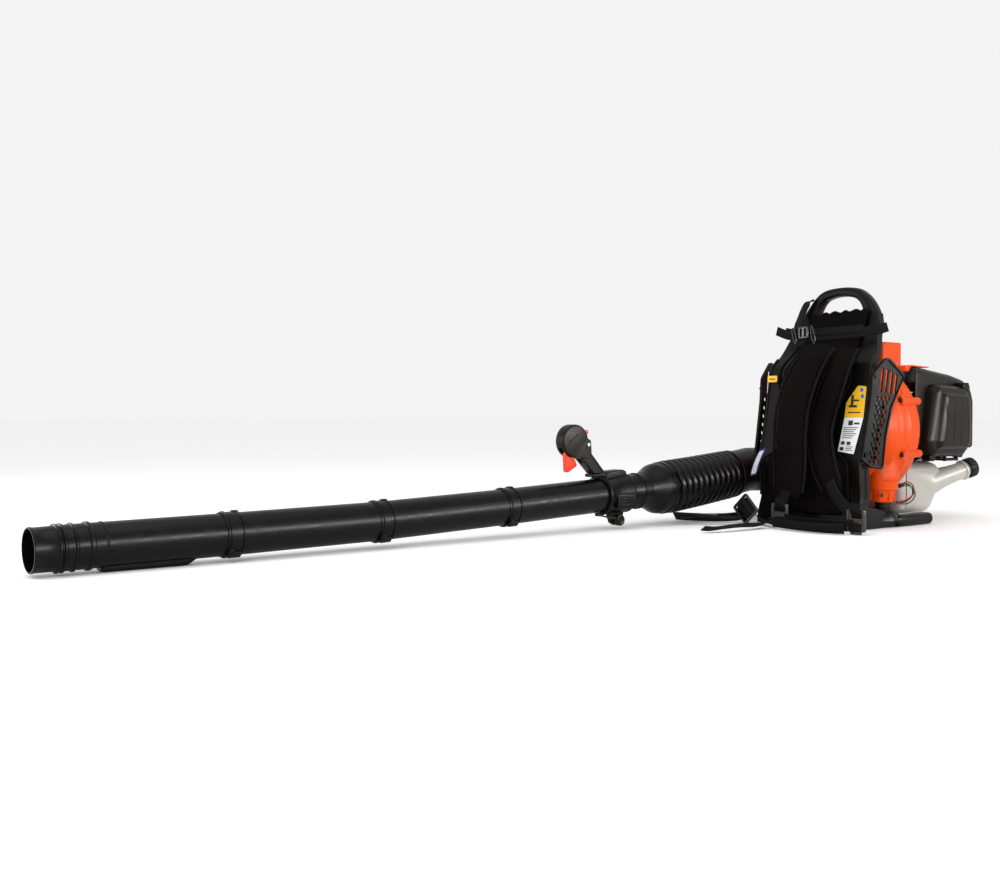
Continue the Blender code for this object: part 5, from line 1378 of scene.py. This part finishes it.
def make_cross_strap():
    lower = [(-0.128, -0.060, 0.424), (-0.090, -0.066, 0.412), (-0.045, -0.071, 0.407), (0.0, -0.072, 0.406),
             (0.045, -0.068, 0.407), (0.090, -0.060, 0.410), (0.124, -0.050, 0.414), (0.142, -0.042, 0.419)]
    band("cross_strap", lower, 0.020, 0.0022, Vector((0, 0, 1)), nodes=("top_cross_strap",))
    upper = [(-0.100, -0.0645, 0.4215), (-0.070, -0.0705, 0.4165), (-0.040, -0.0745, 0.4150),
             (0.010, -0.0745, 0.4150), (0.060, -0.0685, 0.4160), (0.095, -0.061, 0.4180)]
    band("cross_strap_return", upper, 0.016, 0.0018, Vector((0, 0, 1)))
    ring_loop("ring_outer", (-0.073, -0.0760, 0.4265), (-0.064, -0.0760, 0.392), 0.0060, 0.0014)
    ring_loop("ring_inner", (-0.021, -0.0800, 0.4285), (-0.012, -0.0800, 0.390), 0.0065, 0.0014)
    adjuster = slab(Outline(rectangle(-0.053, -0.027, 0.402, 0.428), 0.004, 4), "y", -0.0835, -0.0765, 0.0015, 3)
    piece = new_object("cross_adjuster", adjuster, BUCKLE)
    cut(piece, slab(Outline(rectangle(-0.0485, -0.0425, 0.4055, 0.4245), 0.0015, 3), "y", -0.09, -0.07, 0.0005, 1),
        slab(Outline(rectangle(-0.0375, -0.0315, 0.4055, 0.4245), 0.0015, 3), "y", -0.09, -0.07, 0.0005, 1))
    stand_for(piece, "pack", "black_plastic")
    # a keeper strap runs up from the rings and over the arch's leg
    keeper = [(-0.0740, -0.060, 0.424), (-0.0790, -0.046, 0.442), (-0.0820, -0.032, 0.458),
              (-0.0800, -0.024, 0.474), (-0.0740, -0.019, 0.486), (-0.0640, -0.012, 0.492)]
    band("arch_keeper", keeper, 0.022, 0.0024, Vector((1, 0, 0.35)))


def make_ladder_lock(name, node, centre, lean=0.0):
    """A ladder lock: two thick side rails, three bars and the strap's fold between them."""
    x, y, z = centre
    outline = Outline(rectangle(-0.0210, 0.0210, -0.0220, 0.0220), 0.0035, 4)
    body = new_object(name, slab(outline, "y", -0.0032, 0.0030, 0.0015, 3), BUCKLE)
    cut(body, *[slab(Outline(rectangle(-0.0145, 0.0145, low, low + 0.0105), 0.0018, 3), "y", -0.01, 0.01, 0.0004, 1)
                for low in (-0.0165, 0.0045)])
    parts = [slab(Outline(rectangle(x0, x0 + 0.0045, -0.0212, 0.0212), 0.002, 3), "y", -0.0052, 0.0, 0.0015, 3)
             for x0 in (-0.0205, 0.0160)]
    parts.append(slab(Outline(rectangle(-0.0125, 0.0125, -0.0275, -0.0205), 0.002, 3), "y", -0.0040, 0.0020,
                      0.0012, 2))
    add(body, *parts)
    body.data.transform(Matrix.Translation(Vector(centre)) @ Matrix.Rotation(lean, 4, "Z"))
    stand_for(body, "pack", "black_plastic", node)
    fold = [(x, y - 0.0005, z + 0.034), (x, y - 0.0048, z + 0.020), (x, y + 0.0005, z + 0.011),
            (x, y + 0.0048, z - 0.001), (x, y - 0.0010, z - 0.009), (x, y - 0.0048, z - 0.018),
            (x, y - 0.0010, z - 0.024)]
    band(f"{name}_fold", fold, 0.0250, 0.0020, Vector((math.cos(lean), math.sin(lean), 0)))
    return body


def make_diamond_buckle():
    """A square slide on the waist belt, hanging by its corner, with the belt folded through it."""
    centre = Vector((-0.0985, -0.2000, 0.0340))
    turn = Matrix.Rotation(math.radians(46), 3, "Y")
    outline = Outline(rectangle(-0.0255, 0.0255, -0.0245, 0.0245), 0.0050, 4)
    body = new_object("belt_slide", slab(outline, "y", -0.0030, 0.0030, 0.0020, 3), BUCKLE)
    cut(body, *[slab(Outline(rectangle(-0.0205, 0.0205, low, low + 0.0185), 0.0025, 3), "y", -0.01, 0.01, 0.0004, 1)
                for low in (-0.0200, 0.0015)])
    body.data.transform(Matrix.Translation(centre) @ turn.to_4x4())
    stand_for(body, "pack", "black_plastic", "waist_slide_buckle")
    across = turn @ Vector((1, 0, 0))
    up = turn @ Vector((0, 0, 1))
    for name, sign in (("upper", 1), ("lower", -1)):
        fold = [centre + up * a * sign + Vector((0, b, 0)) for a, b in (
            (0.0215, 0.0052), (0.0150, 0.0022), (0.0085, -0.0042), (0.0030, -0.0050), (-0.0020, -0.0046))]
        band(f"belt_slide_fold_{name}", fold, 0.0385, 0.0022, across)


def make_belts():
    right = [(-0.128, -0.135, 0.022), (-0.134, -0.165, 0.016), (-0.150, -0.200, 0.0125),
             (-0.185, -0.232, 0.0115), (-0.225, -0.246, 0.0110), (-0.258, -0.252, 0.0110)]
    band("belt_right", right, 0.024, 0.0024, Vector((0.3, -0.6, 0.8)), nodes=("waist_belt_right",))
    tail = [(-0.104, -0.196, 0.016), (-0.120, -0.220, 0.0150), (-0.140, -0.248, 0.0170), (-0.166, -0.276, 0.0190),
            (-0.186, -0.298, 0.0195), (-0.192, -0.304, 0.0170), (-0.186, -0.300, 0.0145), (-0.172, -0.286, 0.0140)]
    band("belt_right_tail", tail, 0.016, 0.0022, Vector((0.6, -0.7, 0.35)))
    band("belt_patch", [(-0.1380, -0.2475, 0.0200), (-0.1500, -0.2610, 0.0215), (-0.1620, -0.2735, 0.0222)], 0.013,
         0.0012, Vector((0.6, -0.7, 0.35)), finish=PATCH)
    loose = [(-0.030, -0.222, 0.0090), (-0.026, -0.255, 0.0085), (-0.024, -0.300, 0.0105), (-0.027, -0.345, 0.0095),
             (-0.033, -0.380, 0.0075), (-0.038, -0.402, 0.0095)]
    band("belt_loose_end", loose, 0.019, 0.0026, Vector((0.75, 0.1, 0.4)))
    left = [(-0.020, -0.214, 0.0125), (0.020, -0.222, 0.0120), (0.070, -0.228, 0.0115),
            (0.125, -0.226, 0.0115), (0.158, -0.212, 0.0120)]
    band("belt_left", left, 0.026, 0.0024, Vector((0.0, -0.6, 0.8)), nodes=("waist_belt_left",))
    wing = [(0.006, -0.196, 0.0190), (0.040, -0.210, 0.0170), (0.080, -0.214, 0.0165), (0.130, -0.204, 0.0165),
            (0.164, -0.190, 0.0170)]
    band("belt_upper", wing, 0.027, 0.0026, Vector((0.0, -0.45, 0.9)))
    under = [(-0.118, -0.135, 0.0120), (-0.085, -0.165, 0.0100), (-0.050, -0.190, 0.0090), (-0.018, -0.206, 0.0085)]
    band("belt_lower", under, 0.016, 0.0022, Vector((0.2, -0.8, 0.35)))


# ---- labels and wires ----------------------------------------------------------------
LABEL_SEAM, LABEL_FOOT = 0.2316, 0.1560


def on_white(z):
    """The y of the flat white label, which spans a slight hollow in the frame's front."""
    share = (z - LABEL_FOOT) / (LABEL_SEAM - LABEL_FOOT)
    return front_y(LABEL_FOOT) + (front_y(LABEL_SEAM) - front_y(LABEL_FOOT)) * share


def on_front(points, lift, thickness, face=front_y):
    """A thin patch that follows the frame's front face, from an outline in x and z."""
    rings = []
    for step in (lift, lift + thickness):
        rings.append([Vector((p[0], face(p[1]) - step, p[1])) for p in points])
    return loft(rings)


def make_labels():
    yellow = fillet([(0.1035, 0.2975), (0.1240, 0.2955), (0.1240, 0.232), (0.0785, 0.232), (0.0785, 0.262)],
                    [0.004, 0.004, 0.001, 0.001, 0.010], 5)
    white = fillet([(0.0785, LABEL_SEAM), (0.1240, LABEL_SEAM), (0.1130, LABEL_FOOT), (0.0740, 0.161)], 0.0012, 3)
    for name, outline, finish, face in (("label_upper", yellow, YELLOW, front_y), ("label_lower", white, WHITE, on_white)):
        stand_for(new_object(name, on_front(outline, 0.0004, 0.0006, face), finish), "pack", "black_plastic")
    bars = [(0.0900, 0.0965, 0.2570, 0.2780), (0.0860, 0.1060, 0.2520, 0.2570), (0.0960, 0.1100, 0.2650, 0.2685),
            (0.0860, 0.1160, 0.2405, 0.2430), (0.0900, 0.1010, 0.2150, 0.2250), (0.1040, 0.1170, 0.2170, 0.2210)]
    bars += [(0.0800, 0.1160 - 0.0010 * k - 0.004 * (k % 3), 0.2095 - 0.0042 * k, 0.2111 - 0.0042 * k)
             for k in range(6)]
    bars += [(x, x + 0.0090, z, z + 0.0070) for x, z in ((0.0790, 0.1750), (0.0930, 0.1745), (0.0780, 0.1630))]
    bars += [(0.0920, 0.1090 - 0.003 * (k % 2), 0.1700 - 0.0034 * k, 0.1714 - 0.0034 * k) for k in range(3)]
    for i, (x0, x1, z0, z1) in enumerate(bars):
        face = on_white if z1 < LABEL_SEAM else front_y
        strip = new_object(f"label_bar_{i}", on_front(rectangle(x0, x1, z0, z1), 0.0009, 0.0003, face), INK)
        stand_for(strip, "pack", "black_plastic")
    for i, (x, z) in enumerate(((0.1135, 0.2885), (0.1165, 0.2755))):
        disc = [(x + 0.0042 * math.cos(math.pi * k / 10), z + 0.0046 * math.sin(math.pi * k / 10)) for k in range(20)]
        stand_for(new_object(f"label_disc_{i}", on_front(disc, 0.0009, 0.0003), BLUE), "pack", "black_plastic")
    badge = slab(Outline(rectangle(-0.1265, -0.1000, 0.3085, 0.3230), 0.0035, 4), "y", -0.0945, -0.0925, 0.0006, 2)
    piece = new_object("side_label", badge, YELLOW)
    stand_for(piece, "pack", "black_plastic")
    mark = slab(rectangle(-0.1210, -0.1055, 0.3145, 0.3170), "y", -0.0949, -0.0944, 0.0001, 1)
    stand_for(new_object("side_label_bar", mark, INK), "pack", "black_plastic")


def make_tag():
    """A folded care tag sewn into the pad's right seam: a pale face inside a blue border."""
    top, foot = Vector((-0.1060, -0.1330, 0.1620)), Vector((-0.1330, -0.1330, 0.1020))
    down = foot - top
    side = Vector((0.0170, 0.004, 0.0060))
    for name, grow, lift, finish in (("tag_border", 1.0, 0.0, TAG_BLUE), ("tag_face", 0.66, 0.0008, TAG_WHITE)):
        rings = []
        for i in range(13):
            v = 0.5 + (i / 12 - 0.5) * (1.0 if grow == 1.0 else 0.86)
            curl = Vector((0, -0.0045 * math.sin(v * math.pi) - lift, 0))
            centre = top + down * v + curl
            half = side * 0.5 * grow * (1.0 if 0 < i < 12 else 0.8)
            rings.append([centre - half, centre + half, centre + half + Vector((0, -0.0009, 0)),
                          centre - half + Vector((0, -0.0009, 0))])
        stand_for(new_object(name, loft(rings), finish, 60), "pack", "black_fabric")


def make_wires():
    """The stop switch's leads: three insulated wires that loop out of the frame's left side."""
    route = [(0.126, 0.0302, 0.086), (0.129, 0.046, 0.090), (0.131, 0.066, 0.082), (0.126, 0.077, 0.064),
             (0.115, 0.068, 0.050), (0.106, 0.049, 0.048)]
    for name, shift, finish, nodes in (("lead_black", (0, 0, 0), RUBBER, ("stop_switch_wire",)),
                                       ("lead_red", (0.0035, -0.001, 0.0040), RED_WIRE, ()),
                                       ("lead_green", (0.0035, 0.003, -0.0040), GREEN_WIRE, ())):
        points = [Vector(p) + Vector(shift) * (1.0 if 0 < i < 5 else 0.4) for i, p in enumerate(route)]
        piece = new_object(name, wire(smooth_route(points, 8), 0.0015, 10), finish)
        stand_for(piece, "pack", "black_rubber", *nodes)
    boot = turned([(0, 0.0030), (0.001, 0.0042), (0.012, 0.0042), (0.014, 0.0030)], (0.1265, 0.0260, 0.0855),
                  (0.15, 0.95, 0.2), 20)
    stand_for(new_object("lead_boot", boot, RUBBER), "pack", "black_rubber")


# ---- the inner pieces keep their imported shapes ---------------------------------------
def finish_nodes():
    finishes = {
        BLACK: ("impeller", "starter_pulley", "choke_lever", "fuel_cap"),
        RUBBER: ("spark_plug_boot", "spark_plug_lead", "intake_manifold", "primer_bulb", "fuel_line",
                 "starter_handle", "anti_vibration_mount_left", "anti_vibration_mount_right"),
        STEEL: ("fan_nut", "crankshaft", "spark_plug", "fan_inlet_guard", "handle_screw", "carb_throttle_lever"),
        ALUMINIUM: ("cylinder", "piston", "flywheel", "carburettor"),
        DARK_METAL: ("crankcase", "muffler", "ignition_coil"),
        GREY: ("air_filter_base", "filter_cover_latch"),
        FOAM: ("air_filter_element",),
    }
    for finish, nodes in finishes.items():
        for node in nodes:
            piece = bpy.data.objects.get(node)
            if piece is not None and piece.type == "MESH":
                piece.data.materials.clear()
                piece.data.materials.append(finish)


# ---- stage ---------------------------------------------------------------------------
def make_stage():
    floor = bpy.data.materials.new("studio_floor")
    floor.use_nodes = True
    shader = floor.node_tree.nodes["Principled BSDF"]
    shader.inputs["Base Color"].default_value = (0.98, 0.98, 0.98, 1)
    shader.inputs["Roughness"].default_value = 0.9
    shader.inputs["Specular IOR Level"].default_value = 0.1
    size = 40.0
    mesh = bpy.data.meshes.new("floor")
    mesh.from_pydata([(-size, -size, -0.0005), (size, -size, -0.0005), (size, size, -0.0005),
                      (-size, size, -0.0005)], [], [(0, 1, 2, 3)])
    mesh.materials.append(floor)
    plane = bpy.data.objects.new("floor", mesh)
    bpy.context.collection.objects.link(plane)

    world = bpy.context.scene.world or bpy.data.worlds.new("World")
    bpy.context.scene.world = world
    world.use_nodes = True
    background = world.node_tree.nodes["Background"]
    background.inputs["Color"].default_value = (1, 1, 1, 1)
    background.inputs["Strength"].default_value = 0.90

    target = Vector((0.0, -0.2, 0.2))
    for name, place, size, power in (("edge_strip", (1.3, -0.1, 0.42), (2.3, 0.24), 60),
                                     ("top_light", (0.3, -1.2, 2.6), (2.4, 2.4), 26),
                                     ("right_light", (2.2, 1.4, 1.6), (0.8, 0.8), 10),
                                     ("left_light", (-1.8, -2.3, 0.60), (0.8, 0.8), 13),
                                     ("front_light", (0.9, -2.5, 0.9), (0.4, 0.4), 9)):
        light = bpy.data.lights.new(name, "AREA")
        light.shape = "RECTANGLE"
        light.energy = power
        light.size, light.size_y = size
        lamp = bpy.data.objects.new(name, light)
        lamp.location = place
        aim = Vector((-1, 0, -0.25)) if name == "edge_strip" else target - lamp.location
        lamp.rotation_euler = aim.to_track_quat("-Z", "Y").to_euler()
        lamp.visible_camera = False
        lamp.visible_diffuse = name != "edge_strip"
        bpy.context.collection.objects.link(lamp)


def make_camera():
    turn, tilt = math.radians(52), math.radians(1.12)
    right = Vector((math.cos(turn), math.sin(turn), 0))
    ahead = Vector((-math.sin(turn) * math.cos(tilt), math.cos(turn) * math.cos(tilt), -math.sin(tilt)))
    up = right.cross(ahead)
    camera = bpy.data.objects.new("camera", bpy.data.cameras.new("camera"))
    camera.data.lens = 41.4
    camera.data.sensor_width = 36.0
    camera.data.clip_start = 0.02
    rotation = Matrix((right, up, -ahead)).transposed().to_4x4()
    camera.matrix_world = Matrix.Translation((1.5255, -2.1407, 0.2416)) @ rotation
    bpy.context.collection.objects.link(camera)
    bpy.context.scene.camera = camera
    bpy.context.scene.view_settings.view_transform = "Standard"


def main():
    make_frame()
    edge_trim()
    make_grille("grille_left", 1, "right_intake_grille")
    make_grille("grille_right", -1, "left_intake_grille")
    make_housing("volute_front", True, "volute_front_half")
    make_housing("volute_rear", False, "volute_rear_half")
    housing_details()
    make_rubber_mounts()
    make_hood()
    make_filter()
    make_starter()
    make_tank()
    make_elbow()
    make_hose()
    for joint, (name, body, node) in enumerate((("pipe_swivel", "first_pipe", "swivel_pipe"),
                                                ("pipe_middle", "second_pipe", "middle_pipe"),
                                                ("pipe_front", "third_pipe", "front_pipe"))):
        make_pipe(name, joint, body, node)
    make_nozzle()
    make_clamp_ring()
    make_clamp_lever()
    make_handle()
    make_back_pad()
    make_straps()
    make_top_panel()
    make_cross_strap()
    make_ladder_lock("lock_right", "ladder_lock_right", (-0.022, -0.180, 0.028))
    make_ladder_lock("lock_left", "ladder_lock_left", (0.172, -0.190, 0.0278))
    make_diamond_buckle()
    make_belts()
    make_labels()
    make_tag()
    make_wires()
    finish_nodes()
    make_stage()
    make_camera()


main()
